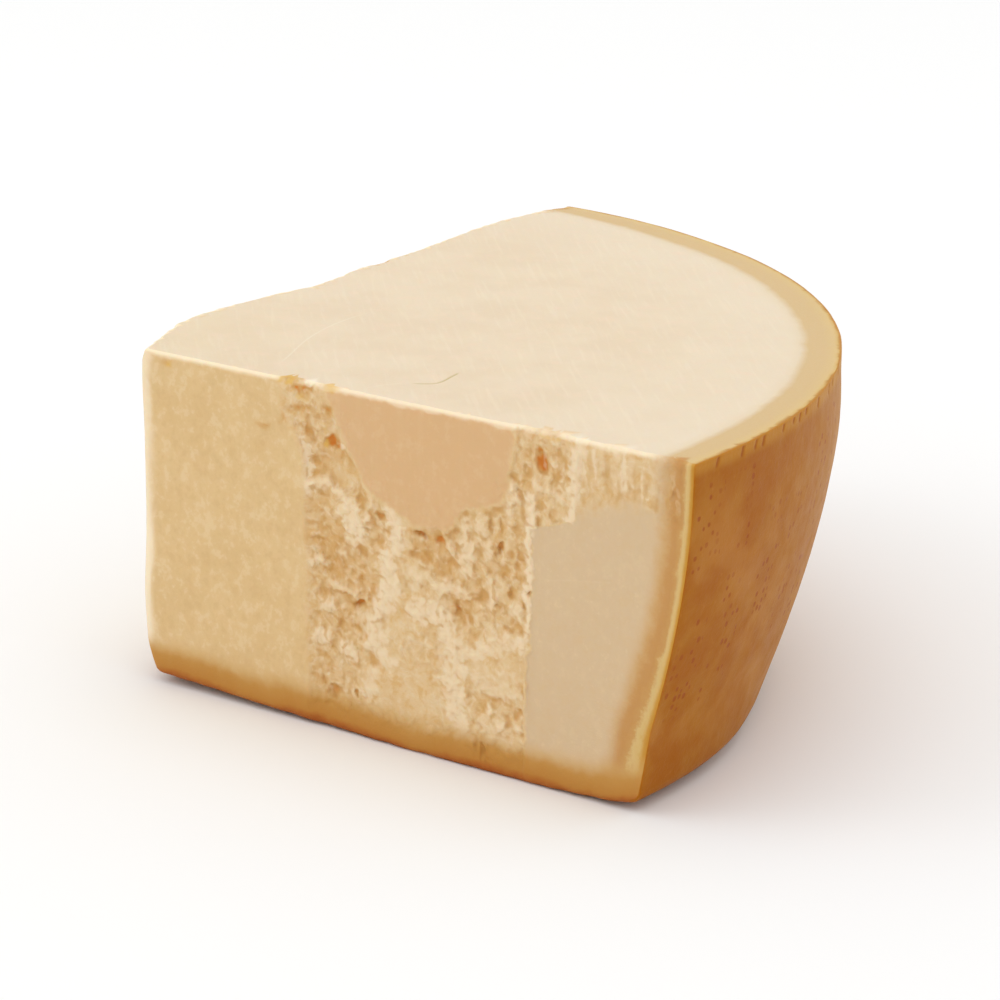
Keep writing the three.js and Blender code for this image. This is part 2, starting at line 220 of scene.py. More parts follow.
# ------------------------------------------------------------------ front cut
# pits in the split paste: place along the cut, height, half sizes, turn, depth, how dark
FRONT_PITS = [
    (79.5, 94.6, 3.4, 1.1, -6, 1.4, 0.75), (79, 89, 3.6, 0.9, 8, 1.0, 0.6), (89.6, 91.2, 2.6, 1.1, 32, 1.3, 0.75),
    (82, 84, 1.1, 1.7, 0, 1.0, 0.6), (90.2, 81.0, 2.9, 2.3, 10, 1.8, 1.25), (65.2, 82.4, 2.3, 0.7, 4, 0.8, 0.55),
    (72.2, 85.4, 1.7, 0.9, 20, 0.8, 0.5), (63.6, 76.2, 2.0, 1.5, 0, 0.5, 0.3), (84, 76.8, 1.8, 1.1, 15, 1.0, 0.6),
    (88.6, 76.5, 1.3, 0.9, 0, 0.8, 0.45), (91, 72, 4.6, 2.4, -25, 0.7, 0.25), (82.6, 57.6, 2.1, 1.0, 0, 1.2, 0.65),
    (86, 55.8, 1.5, 1.1, -20, 1.1, 0.5), (87.5, 53.0, 1.8, 1.0, 10, 1.0, 0.45), (94, 55.0, 1.4, 1.8, 0, 1.0, 0.4),
    (100, 52.6, 2.1, 1.8, 0, 1.6, 0.7), (106.6, 57.2, 1.7, 1.1, 0, 1.0, 0.45), (107.2, 63.6, 1.8, 1.0, -12, 1.5, 0.85),
    (104, 61.0, 1.5, 1.0, 10, 1.3, 0.75), (110.2, 60.1, 1.3, 1.0, 0, 1.1, 0.6), (86.2, 50.2, 1.8, 1.0, 0, 1.1, 0.6),
    (91.4, 46.2, 3.6, 1.2, 14, 1.4, 0.7), (97, 44.4, 1.4, 1.0, 0, 1.0, 0.55), (101, 43.4, 1.8, 1.1, 0, 1.5, 0.75),
    (104.6, 42.0, 1.6, 1.4, 30, 1.5, 0.8), (99.6, 36.6, 2.5, 1.1, 8, 2.0, 1.0), (104.0, 39.2, 1.5, 1.1, 20, 1.4, 0.75),
    (93.2, 29.2, 1.9, 1.6, 0, 1.3, 0.5), (98, 29.4, 2.1, 1.2, 10, 1.2, 0.5), (93.6, 34.0, 1.8, 1.5, 0, 1.1, 0.4),
    (87.6, 38.4, 3.0, 1.0, 12, 1.0, 0.4), (86.2, 19.4, 1.8, 1.1, 10, 1.2, 0.55), (89.6, 18.0, 1.2, 1.0, 0, 1.0, 0.5),
    (85.2, 12.6, 1.5, 1.2, 0, 1.0, 0.5), (90.4, 9.2, 2.8, 2.0, 15, 1.8, 0.85), (89.0, 6.0, 1.7, 1.1, 0, 1.4, 0.8),
    (98.6, 11.0, 0.9, 1.1, 0, 1.8, 0.85), (104.3, 21.6, 1.2, 1.9, 0, 1.2, 0.5), (98.0, 19.5, 1.5, 1.4, 0, 0.9, 0.35),
    (121.4, 60.8, 2.3, 1.0, 0, 2.1, 0.95), (127.5, 60.2, 2.5, 1.5, -8, 1.5, 1.05), (118.3, 55.4, 1.7, 1.2, 0, 1.5, 0.6),
    (122.4, 54.8, 2.3, 1.8, 0, 1.8, 0.7), (122.6, 51.6, 1.3, 0.9, 0, 1.0, 0.45), (127.6, 51.8, 1.9, 1.6, 0, 1.7, 0.6),
    (133.2, 54.0, 3.0, 1.3, -8, 1.8, 0.7), (121.6, 46.4, 1.3, 1.3, 0, 1.2, 0.55), (124.2, 42.0, 1.6, 1.0, 0, 1.0, 0.45),
    (117.0, 38.4, 1.6, 1.6, 20, 1.1, 0.4), (134.0, 42.2, 1.9, 2.0, 0, 2.1, 0.85), (137.0, 39.8, 2.4, 1.6, -20, 2.0, 0.75),
    (135.6, 69.6, 1.3, 1.1, 0, 1.0, 0.5), (132.0, 64.4, 1.7, 1.1, 0, 1.3, 0.6), (148.5, 62.4, 1.7, 1.6, 0, 1.9, 0.85),
    (151.6, 61.0, 1.0, 1.3, 10, 1.5, 0.75), (149.6, 55.6, 2.3, 1.5, -30, 1.7, 0.6), (152.2, 50.4, 1.5, 1.8, 0, 1.7, 0.65),
    (155.0, 59.4, 0.9, 2.1, 0, 1.2, 0.5), (153.8, 67.4, 1.4, 2.2, -10, 1.4, 0.5), (149.0, 68.0, 1.0, 2.6, 6, 1.1, 0.35),
    (144.8, 66.6, 1.1, 2.3, 0, 1.1, 0.35), (139.4, 56.2, 1.5, 1.3, 0, 1.1, 0.35), (140.4, 51.4, 1.2, 1.5, 0, 1.0, 0.35),
    (142.2, 47.2, 3.2, 1.7, -6, 1.7, 0.6), (147.6, 73.0, 1.1, 1.5, 0, 1.2, 0.5), (151.2, 74.4, 1.1, 0.8, 0, 1.0, 0.45),
    (156.2, 72.8, 0.9, 2.7, 6, 1.2, 0.4), (154.8, 77.6, 1.9, 1.1, -12, 1.9, 0.75), (152.6, 82.6, 1.1, 0.9, 0, 1.0, 0.5),
    (161.4, 91.4, 1.7, 1.5, 0, 1.2, 0.95), (162.3, 88.0, 2.3, 3.5, 6, 1.8, 1.2), (157.2, 89.6, 1.7, 1.5, 0, 1.3, 0.6),
    (158.2, 85.4, 1.6, 1.0, 20, 1.1, 0.5), (167.2, 85.4, 1.3, 1.0, 0, 1.2, 0.5), (171.0, 85.6, 0.7, 0.9, 0, 1.5, 0.75),
    (169.6, 89.8, 1.0, 1.6, 0, 1.0, 0.45), (165.4, 75.4, 1.4, 0.9, 0, 0.9, 0.45), (148.7, 36.9, 1.7, 1.3, 35, 1.3, 0.65),
    (150.4, 40.2, 1.3, 1.1, 0, 1.1, 0.5), (148.6, 46.0, 1.1, 1.3, 0, 1.2, 0.45), (153.8, 43.4, 1.0, 1.6, 0, 1.1, 0.45),
    (139.2, 35.6, 1.2, 1.6, 0, 1.0, 0.4), (146.6, 32.2, 1.1, 1.5, 0, 0.7, 0.35), (128.6, 26.4, 2.3, 1.2, -14, 1.2, 0.55),
    (127.0, 30.0, 1.4, 1.0, 0, 0.9, 0.4), (145.4, 19.8, 2.4, 1.2, 6, 1.5, 0.65), (148.2, 19.4, 1.2, 0.8, 0, 1.1, 0.6),
    (151.2, 14.2, 1.2, 1.8, 25, 1.6, 0.7), (155.4, 24.2, 1.3, 1.5, 0, 1.2, 0.5), (154.8, 17.4, 0.9, 1.2, 0, 1.3, 0.7),
    (129.8, 18.2, 1.4, 1.1, 0, 0.9, 0.45), (142.6, 4.0, 1.0, 2.6, 14, 2.0, 0.95), (144.2, 1.2, 0.8, 1.6, 20, 1.6, 0.95),
    (152.0, 1.0, 1.9, 0.9, 0, 1.0, 0.8), (132.4, 12.0, 1.3, 2.2, 30, 0.9, 0.4), (133.6, 32.4, 1.5, 1.5, 0, 0.8, 0.35),
    (82.5, 0.9, 2.4, 0.7, 0, 1.4, 0.9), (204.0, 87.2, 1.1, 1.9, -14, 1.5, 0.9), (201.2, 92.2, 0.9, 1.3, 0, 1.1, 0.7),
    (203.4, 93.4, 0.9, 1.4, 20, 1.1, 0.75), (200.2, 88.0, 1.0, 1.5, 0, 1.1, 0.7), (202.2, 82.4, 1.3, 1.1, 0, 1.0, 0.6),
    (204.6, 81.0, 0.8, 0.9, 0, 0.8, 0.5), (193.8, 83.8, 1.5, 0.9, 15, 0.9, 0.6), (195.6, 87.2, 1.0, 1.6, -20, 0.8, 0.45),
    (186.4, 81.8, 1.5, 1.0, 0, 0.8, 0.45), (183.2, 89.0, 1.0, 4.2, 4, 0.7, 0.3), (192.0, 89.0, 0.9, 3.8, 2, 0.8, 0.35),
    (29.0, 94.6, 2.0, 1.0, 10, 0.9, 0.6), (31.0, 93.4, 1.0, 0.8, 0, 0.5, 0.4),
]
# ridges and ledges: bent line, half width, height, how pale
FRONT_RIDGES = [
    ([(80.2, 77.5), (80.0, 72), (80.4, 67.8)], 2.0, 0, 1.0),
    ([(80.5, 68.2), (84, 69.0), (88, 69), (93, 67), (97.5, 65.4)], 1.2, 1.1, 0.55),
    ([(95.8, 62.4), (98, 60.2), (98.6, 57.2)], 3.0, 1.7, 0.95), ([(97.5, 63.6), (101.5, 63.4), (104, 66), (102.6, 71)], 1.1, 0.9, 0.35),
    ([(110.3, 70.2), (111.2, 66), (113.4, 60.5), (112.4, 55.6), (109.4, 51.2), (110.8, 46.8), (109.4, 42.6)], 2.3, 1.8, 0.9),
    ([(112, 43), (109, 40.4), (106.2, 37), (104.2, 33), (104.6, 28), (107, 24.6), (110.5, 22)], 2.1, 1.7, 0.85),
    ([(104.5, 19), (103, 15.5), (101, 11.5)], 1.9, 1.2, 0.7), ([(84.2, 24.2), (87, 25.2)], 1.7, 1.1, 0.7),
    ([(94.8, 23.8), (97.6, 21.8)], 1.6, 1.3, 0.8), ([(86.4, 34.8), (90.0, 34.6)], 1.6, 1.1, 0.65),
    ([(81.4, 46.8), (85, 47.4)], 1.5, 0.9, 0.5), ([(90, 40.6), (94, 39.2), (97.5, 40)], 1.3, 0.7, 0.4),
    ([(119.5, 38.6), (124, 40.8), (128, 39.4), (131.5, 33.4), (133.4, 26), (131.4, 20.6), (132.4, 15.4), (135.2, 10), (137.0, 5), (137.6, 1)], 2.7, 1.8, 0.9),
    ([(135.5, 30.2), (140, 31.2), (145, 34.0), (150, 36.0), (156, 37.4)], 1.9, 1.3, 0.75),
    ([(158.6, 79), (158.2, 74), (157.6, 66), (157.9, 60), (157.4, 52), (158.0, 46), (157.0, 39.5)], 1.1, 1.7, 0.95),
    ([(173.9, 97), (173.4, 91), (172.9, 86), (172.2, 80), (171.6, 75.4)], 1.6, 1.9, 1.0),
    ([(175.4, 96.5), (175.2, 92.6)], 1.1, 1.0, 0.8), ([(163.4, 82), (166.2, 80.6), (169.4, 80)], 1.3, 0.8, 0.5),
    ([(152.0, 81.0), (152.6, 77.4), (151.8, 72.4)], 1.3, 0.8, 0.6), ([(137.0, 67.6), (136.2, 63), (137.4, 58.6), (136.2, 54)], 1.5, 0.9, 0.6),
    ([(141.6, 68.6), (142.4, 64.4), (144.8, 60.4)], 1.4, 0.7, 0.5), ([(130.6, 59.4), (134.0, 57.2), (138, 55.4)], 1.3, 0.8, 0.5),
    ([(152.4, 37.2), (156.4, 37.6)], 1.3, 1.1, 0.9), ([(144.4, 52.6), (146.6, 49.4), (145.8, 44.4)], 1.3, 0.7, 0.5),
    ([(153.4, 46.6), (156.0, 42.6)], 1.2, 0.9, 0.6), ([(126, 47.5), (131, 48.5), (137, 47)], 1.6, 0.8, 0.5), ([(118, 49), (121, 45), (120, 41)], 1.6, 0.8, 0.5),
    ([(140, 24.5), (146, 22.6), (152, 22.4)], 2.4, 0.9, 0.55), ([(143.5, 12), (148, 10), (154, 9)], 2.2, 0.9, 0.55),
    ([(186.2, 97), (186.4, 90), (186.0, 85.6)], 1.3, 0.7, 0.45), ([(190.2, 96), (190.2, 88), (189.4, 85)], 1.0, 0.6, 0.45),
    ([(180.8, 95), (180.9, 88), (180.4, 83)], 1.0, 0.5, 0.35), ([(205.8, 95.6), (205.9, 90), (205.6, 85)], 0.6, 0.8, 0.8),
    ([(200.8, 94.8), (203.4, 98)], 0.6, 0.8, 0.9), ([(178.5, 79.5), (183, 78.6), (190, 80.6), (197, 82.4)], 1.0, 0.5, 0.25),
]
# crumbs that stand up: place, height, radius, rise, how pale
FRONT_CRUMBS = [
    (144.6, 16.4, 1.6, 1.3, 1.0), (148.6, 12.2, 1.8, 1.1, 0.9), (154.2, 13.2, 1.8, 1.0, 0.7), (157.2, 10.2, 1.5, 0.8, 0.6),
    (152.4, 22.0, 2.0, 0.8, 0.5), (100.4, 11.4, 1.1, 1.2, 0.9), (94.6, 1.9, 1.3, 0.8, 0.9), (88.6, 60.4, 1.7, 1.0, 0.6),
    (93.6, 80.2, 1.1, 0.9, 0.9), (92.0, 87.0, 1.4, 0.8, 0.7), (82.0, 97.0, 2.2, 0.5, 0.9), (152.0, 94.4, 1.7, 1.0, 0.9),
    (151.6, 79.8, 1.4, 1.0, 0.9), (166.4, 88.6, 1.6, 1.0, 0.7), (168.6, 83.4, 1.6, 0.9, 0.6), (160.4, 81.6, 1.9, 0.9, 0.5),
    (175.6, 93.4, 0.9, 0.8, 0.9), (186.2, 87.0, 1.0, 0.6, 0.8), (196.2, 85.0, 0.9, 0.7, 0.8), (194.4, 85.4, 0.8, 0.6, 0.7),
    (147.2, 3.4, 1.9, 0.8, 0.3), (151.4, 4.4, 1.6, 0.8, 0.3), (83.2, 49.0, 1.2, 0.6, 0.4), (101.6, 38.6, 1.0, 0.6, 0.4),
    (120.4, 49.0, 1.7, 0.9, 0.6), (125.4, 47.4, 1.5, 0.8, 0.5), (129.6, 47.0, 1.7, 0.9, 0.6), (118.6, 42.6, 1.5, 0.8, 0.6),
    (134.4, 48.0, 1.5, 0.8, 0.6), (139.0, 60.6, 1.3, 0.8, 0.6), (134.6, 61.4, 1.3, 0.8, 0.6),
]
# golden stains, and orange patches that are painted shade in pits, hollows and under the top rim, partly the paste's
# own orange: place, half sizes, turn, strength
FRONT_GOLD = [
    (74.6, 96.3, 5.6, 1.4, -2, 1.0), (89.4, 96.4, 3.8, 1.2, -4, 0.9), (79, 92.4, 4.2, 1.4, 0, 0.5), (88, 85, 3.0, 6.0, 10, 0.35),
    (92, 63, 9, 2.4, -8, 0.3), (88.5, 80.6, 1.3, 1.9, 0, 1.0), (98, 4.5, 9, 2.2, 0, 0.5), (30, 94.0, 2.2, 1.2, 0, 0.9), (165, 95.6, 7, 1.1, 0, 0.5),
]
FRONT_ORANGE = [
    (79.0, 94.3, 4.8, 1.2, -4, 0.95), (78.2, 88.8, 3.8, 2.0, 0, 0.62), (89.1, 89.8, 3.2, 1.8, 0, 0.72), (81.2, 83.6, 2.2, 3.6, 0, 0.6),
    (66.0, 82.5, 2.6, 0.9, 0, 0.62), (72.5, 85.2, 1.8, 1.2, 0, 0.5), (64.0, 76.0, 1.8, 1.2, 0, 0.3), (91.8, 80.6, 1.5, 1.9, 0, 1.2),
    (86, 73, 6.5, 4.0, -10, 0.30), (87, 58, 6.0, 4.5, 0, 0.30), (93, 50, 9.5, 7.5, 10, 0.36), (101, 45, 5.0, 3.6, 20, 0.40),
    (88, 14, 6.0, 7.0, 0, 0.34), (124, 57, 8.0, 4.4, -6, 0.42), (134.5, 43, 5.0, 4.5, -15, 0.42), (162, 88, 3.0, 4.6, 0, 0.5), (204.4, 87, 2.8, 7.0, -4, 0.85),
    (122, 60.6, 6.0, 1.2, -4, 0.5), (143, 3, 2.6, 5.0, 10, 0.5),
]
# pale patches, painted highlight on crests and a lit wall, partly paler paste: the same
FRONT_PALE = [
    (131, 29, 5.5, 13, 8, 0.70), (148, 27, 9.5, 5, 0, 0.50), (150, 11, 7, 8, 0, 0.42), (99, 60, 5, 5, 0, 0.65), (114, 57, 4, 10, 0, 0.55),
    (107, 34, 3.6, 9, -12, 0.55), (127, 44, 6, 3, -10, 0.40), (142, 58, 7, 8, 0, 0.28), (81, 72.5, 1.6, 4.6, 0, 1.0), (81.8, 97, 1.7, 1.8, 0, 1.0),
    (91, 86, 1.8, 2.4, 0, 0.6), (117, 30, 4, 12, 0, 0.30),
]
# olive-brown patches, partly the paste's own olive tint and partly painted shade in darker flutes and hollows: the same
FRONT_OLIVE = [
    (204, 87, 2.8, 8, -4, 1.0), (199, 92, 3, 5, 0, 0.6), (186, 86, 17, 8, 0, 0.62), (196, 83, 8, 3.5, 10, 0.8), (178, 79.5, 7, 3, -20, 0.5),
    (165, 90, 6, 5, 0, 0.4), (86, 88, 9, 6, 0, 0.45), (94, 50, 9, 8, 10, 0.4), (126, 55, 8, 6, -8, 0.4), (88, 15, 7, 8, 0, 0.4), (150, 60, 8, 10, 0, 0.25),
]
# depth of the broad relief at named places
FRONT_LEVELS = [
    (74, 94, 0.9), (76, 96, 1.3), (84, 93, 1.1), (80, 85, 1.1), (86, 84, 1.7), (90, 80, 2.0), (84, 73.5, 2.3), (91, 75, 2.0),
    (97, 72, 1.5), (101, 67, 1.3), (85, 66.5, 1.3), (92, 65.5, 1.2), (83, 60, 1.5), (90, 56, 1.9), (98, 59, 0.5), (106, 61, 1.7),
    (113, 60, 0.4), (83, 48, 1.3), (92, 46, 2.0), (100, 52, 1.7), (99, 43, 1.8), (104, 39, 1.7), (111, 45, 0.5), (113, 35, 0.45),
    (84, 32, 1.3), (96, 30, 1.6), (84, 18, 1.2), (95, 14, 1.3), (90, 8, 1.4), (103, 22, 1.0), (106, 14, 0.5), (113, 20, 0.35),
    (122, 10, 0.4), (118, 28, 0.5), (127, 26, 0.8), (120, 50, 1.0), (119, 57, 1.2), (125, 58, 2.1), (132, 56, 1.8), (124, 46, 1.0),
    (134, 42, 1.8), (134, 35, 1.0), (140, 62, 1.2), (148, 65, 1.3), (152, 58, 1.6), (143, 48, 1.6), (152, 46, 1.4), (140, 53, 1.1),
    (145, 40, 1.1), (145, 28, 0.55), (152, 28, 0.5), (146, 16, 1.0), (153, 11, 1.0), (144, 5, 1.0), (155, 72, 1.2), (153, 80, 1.4),
    (155, 90, 1.0), (159, 92, 1.3), (163, 88, 1.7), (168, 81, 1.2), (163, 77, 0.8), (132, 10, 0.5), (169, 92, 1.3),
]


def front_masks(x, z):
    """The split band, the smooth tongue that hangs into it, the right-hand panel and its fluted top, as shares."""
    wob = 0.6 * gnoise(x / 5, z / 5, 61) + 0.4 * gnoise(x / 2.1, z / 2.1, 62)
    left = np.interp(z, [0, 66, 78, 80, 84, 88, 95, 98], [80.3, 79.3, 78.6, 77, 74, 71.5, 70.5, 71.5])
    low_x = [84, 90, 95, 99, 103, 108, 113, 117, 124, 130, 133, 137, 143, 148, 150.5, 152, 152.6]
    low_z = [101, 91, 81, 75, 69.5, 67, 66.5, 63.5, 62.4, 63.4, 67.6, 71, 72.4, 74.4, 79, 90, 101]
    away, _ = to_line(x, z, list(zip(low_x, low_z)))
    under = np.where(z > np.interp(x, low_x, low_z), away, -away) + 1.7 * wob
    tongue = ramp(-1.6, 1.5, under)
    right = np.interp(z, [0, 34, 36, 70, 75, 98], [156.4, 156.6, 157.8, 158.3, 172.4, 173.4]) + 1.1 * gnoise(z / 4.2, 0 * z, 60)
    band = ramp(-1.2, 2.2, x - left + 0.9 * wob) * ramp(0.8, -0.6, x - right + 0.4 * wob)
    split = band * (1 - tongue)
    gain = band * ramp(1.6, -3.5, under)
    panel = ramp(-1.2, 1.4, x - right + 0.9 * wob)
    fluted = ramp(170.5, 173.5, x) * ramp(-3.5, 3.5, z - np.interp(x, [171, 178, 186, 194, 200, 206], [76, 79, 81.5, 83, 80, 79]) + 2.6 * wob)
    return split, tongue, panel, fluted, gain


def broken(x, z, seed):
    """The grainy texture of split paste: rounded crumbs of several sizes with creases between, as depths."""
    f1, f2, who = cells(x / 4.3, z / 3.6, seed)
    g1, g2, wh2 = cells(x / 2.2, z / 1.9, seed + 3)
    h1, h2, wh3 = cells(x / 1.2, z / 1.1, seed + 6)
    puff1 = 0.4 - np.abs(gnoise(x / 4.6, z / 4.0, seed + 9)) ** 1.15
    puff2 = 0.4 - np.abs(gnoise(x / 2.4, z / 2.1, seed + 10)) ** 1.15
    puff3 = 0.4 - np.abs(gnoise(x / 1.25, z / 1.15, seed + 11)) ** 1.1
    big = 0.40 * (who - 0.5) * ramp(0.02, 0.45, f2 - f1) + 0.85 * puff1 + 0.45 * gnoise(x / 3.4, z / 3.9, seed + 12)
    mid = 0.30 * (wh2 - 0.5) * ramp(0.02, 0.45, g2 - g1) + 0.50 * puff2 + 0.30 * gnoise(x / 1.9, z / 2.1, seed + 13)
    fine = 0.14 * (wh3 - 0.5) * ramp(0.02, 0.45, h2 - h1) + 0.18 * puff3 + 0.12 * gnoise(x / 0.95, z / 1.05, seed + 14)
    return big, mid, fine, puff1, puff2


def front_relief(x, z):
    """How deep the front cut lies, and what its paste looks like there."""
    split, tongue, panel, fluted, gain = front_masks(x, z)
    wx = x + 0.75 * gnoise(x / 3.1, z / 3.1, 71) + 0.35 * gnoise(x / 1.3, z / 1.3, 73)
    wz = z + 0.75 * gnoise(x / 3.1, z / 3.1, 72) + 0.35 * gnoise(x / 1.3, z / 1.3, 74)
    vx = wx + 1.1 * gnoise(x / 4.5, z / 4.5, 75)
    vz = wz + 1.1 * gnoise(x / 4.5, z / 4.5, 76)
    grit = gnoise(x / 1.6, z / 1.6, 77)
    broad = levels(wx, wz, FRONT_LEVELS, 3.9)
    broad = 0.75 + 1.35 * (broad - 0.75)
    big, mid, fine, puff1, puff2 = broken(wx, wz, 81)
    n1, _, _ = cells(wx / 3.1, wz / 3.7, 85)
    net = -0.9 * (n1 - 0.42) * ramp(131, 138, x) * ramp(42, 48, z)
    calm = np.clip(
        pit(wx, wz, 146, 28, 10, 5.5) + pit(wx, wz, 116, 16, 14, 10) + pit(wx, wz, 94, 73, 7, 3.5) + 0.8 * pit(wx, wz, 112, 36, 6, 8), 0, 1
    )
    rough = (1 - 0.85 * calm) * gain * ramp(-1, 7, z)
    texture = rough * (0.70 * big + 0.42 * mid + 0.35 * net) + gain * 0.42 * fine
    # painted highlight: the tops of the rounded crumbs are coloured pale
    pale = rough * (0.30 * ramp(-0.02, -0.35, puff1) + 0.18 * ramp(0.0, -0.4, puff2))
    dark = np.zeros_like(x)
    d = broad + texture
    allowed = np.clip(split + 0.8 * fluted + ramp(196, 199, x) * ramp(77, 80, z) + pit(x, z, 67, 81, 12, 9) + pit(x, z, 30, 94, 5, 4), 0, 1)
    loose_pits = np.zeros_like(x)
    # painted shade: the split paste is coloured darker orange where the broad relief lies deeper
    dark = 0.42 * gain * ramp(0.9, 2.9, broad + 0.5 * big) * (1 - 0.6 * calm)
    gold_stain_olive_tint_and_shade = np.zeros_like(x)
    for cx, cz, rx, rz, turn, tone in FRONT_GOLD:
        gold_stain_olive_tint_and_shade = np.maximum(gold_stain_olive_tint_and_shade, tone * pit(vx, wz, cx, cz, rx, rz, turn) * (0.85 + 0.35 * grit))
    streaks = np.clip(0.45 + 0.9 * gnoise(x / 1.7, z / 8, 79) + 0.7 * gnoise(x / 1.5, z / 2.2, 80), 0, 1.3)
    olive_tint_and_shade = np.zeros_like(x)
    for cx, cz, rx, rz, turn, tone in FRONT_OLIVE:
        olive_tint_and_shade = np.maximum(olive_tint_and_shade, tone * pit(vx, vz, cx, cz, rx, rz, turn) * streaks)
    # painted shade: deeper split paste is also coloured olive-brown
    olive_tint_and_shade = np.maximum(olive_tint_and_shade, 0.66 * rough * ramp(0.08, 0.6, gnoise(x / 2.1, z / 1.8, 83)) * ramp(0.6, 1.7, broad + 0.5 * big))
    # the gold share holds real golden stains as positive values and the olive painted shade, partly olive tint, as
    # negative ones
    gold_stain_olive_tint_and_shade = gold_stain_olive_tint_and_shade - np.clip(olive_tint_and_shade, 0, 1) * np.clip(split + panel * fluted, 0, 1)
    pale = np.maximum(pale, 0.5 * rough * ramp(0.12, 0.6, gnoise(x / 2.0, z / 1.9, 84)))
    # orange patches: painted shade in pits, hollows and under the top rim, partly the paste's own orange
    orange_shade_and_tint = np.zeros_like(x)
    for cx, cz, rx, rz, turn, tone in FRONT_ORANGE:
        orange_shade_and_tint = np.maximum(orange_shade_and_tint, tone * pit(vx, vz, cx, cz, rx, rz, turn) * (0.9 + 0.7 * gnoise(x / 2.3, z / 2.1, 78)))
    dark = np.maximum(dark, orange_shade_and_tint)
    for cx, cz, rx, rz, turn, deep, tone in FRONT_PITS:
        if tone < 0.84:
            p = pit(vx, vz, cx, cz, 1.4 * rx, 1.4 * rz, turn)
            deep, tone = 0.5 * deep, 0.9 * tone
        else:
            p = pit(wx, wz, cx, cz, rx, rz, turn)
        d = d + 0.62 * deep * p
        if cx < 73 or cx > 173:
            loose_pits = loose_pits + 0.4 * deep * p
        # painted shade: each pit is coloured dark orange by its tone, partly the paste's own orange
        dark = np.maximum(dark, tone * p)
    lump = 0.55 * ramp(0.34, -0.15, puff1) + 0.45 * ramp(0.34, -0.15, puff2)
    for pts, wide, rise, tone in FRONT_RIDGES:
        q, along = to_line(vx, vz, pts)
        w = wide * (1 + 0.35 * gnoise(along * 9, rise, 95))
        p = np.exp(-((q / (1.2 * w)) ** 2) * 0.9)
        if rise > 0:
            d = mix(d, np.minimum(d, max(1.0 - 0.45 * rise, 0) + 0.85 * texture), p)
        # painted highlight along the ridges and ledges, partly paler paste
        pale = np.maximum(pale, tone * ramp(0.12, 0.72, np.exp(-((q / (1.6 * w)) ** 2) * 0.9) * (0.50 + 0.85 * lump)) * (0.9 + 0.25 * grit))
    # pale patches: painted highlight on crests and a lit wall, partly paler paste
    for cx, cz, rx, rz, turn, tone in FRONT_PALE:
        pale = np.maximum(pale, tone * pit(vx, vz, cx, cz, rx, rz, turn) * (0.8 + 0.8 * grit))
    pale = np.maximum(pale, 0.85 * fluted * ramp(0.05, 0.6, gnoise(x / 2.4, z / 12, 82) + 0.3 * grit) * ramp(81, 87, z))
    for cx, cz, r, rise, tone in FRONT_CRUMBS:
        p = pit(wx, wz, cx, cz, r, r)
        d = d - 0.6 * rise * p
        # painted highlight on the raised crumbs, partly paler paste
        pale = np.maximum(pale, tone * p)
    near_left = mix(0.25, 1.0, ramp(-1, 7, x - np.interp(z, [0, 66, 78, 80, 84, 88, 95, 98], [80.3, 79.3, 78.6, 77, 74, 71.5, 70.5, 71.5])))
    split_d = np.maximum(d, -0.4) * mix(0.25, 1.0, ramp(-1, 7, z)) * near_left
    # smooth parts
    flat = 0.10 * gnoise(x / 26, z / 40, 63) + 0.02 * gnoise(x / 3.6, z / 14, 64) + 0.025 * gnoise(x / 6, z / 6, 65)
    tongue_d = 0.55 + 0.12 * gnoise(x / 14, z / 14, 66) + 0.2 * ramp(92, 97, z) + 0.03 * gnoise(x / 4, z / 4, 67)
    fringe = ramp(16, 0, z - np.interp(x, [90, 103, 117, 130, 143, 151], [90, 70, 63, 63, 72, 80]))
    tongue_d = tongue_d + fringe**1.5 * (0.42 * big + 0.36 * mid) + 0.6 * texture
    panel_d = mix(0.7, 0.95, ramp(170, 158, x)) * ramp(209.5, 203, x) * mix(0.2, 1.0, ramp(1, 13, z)) + 0.025 * gnoise(x / 5, z / 7, 68)
    flute_d = 0.8 + 0.24 * gnoise(x / 2.6, z / 24, 69) + 0.12 * gnoise(x / 1.4, z / 12, 70)
    ragged = ramp(87, 81, z) + ramp(197.5, 200, x) * ramp(78, 82, z)
    flute_d = flute_d + np.clip(ragged, 0, 1) * (0.42 * big + 0.42 * mid) + 0.35 * fine
    flute_d = flute_d * ramp(209.5, 206.0, x)
    out = flat + loose_pits * ramp(75, 71, x)
    out = mix(out, tongue_d, tongue * ramp(-0.7, 1.1, x - 84))
    out = mix(out, panel_d, panel * (1 - fluted))
    out = mix(out, flute_d + loose_pits, panel * fluted)
    out = mix(out, split_d, split)
    # ridges that stand on the knife lines
    lips = np.zeros_like(x)
    for pts, wide, rise, tone in FRONT_RIDGES:
        if 155 < pts[0][0] < 175 and rise > 1.5:
            q, along = to_line(mix(x, vx, 0.8), mix(z, vz, 0.8), pts)
            lips = np.maximum(lips, np.exp(-((q / (1.25 * wide)) ** 2) * 0.9) * (0.45 + 0.75 * lump))
    out = mix(out, np.minimum(out, 0.35 + 0.5 * fine), 0.8 * lips)
    for pts, wide, rise, tone in FRONT_RIDGES:
        if pts[0][0] > 174.5:
            q, along = to_line(x, z, pts)
            out = out - 0.35 * rise * np.exp(-((q / wide) ** 2)) * fluted
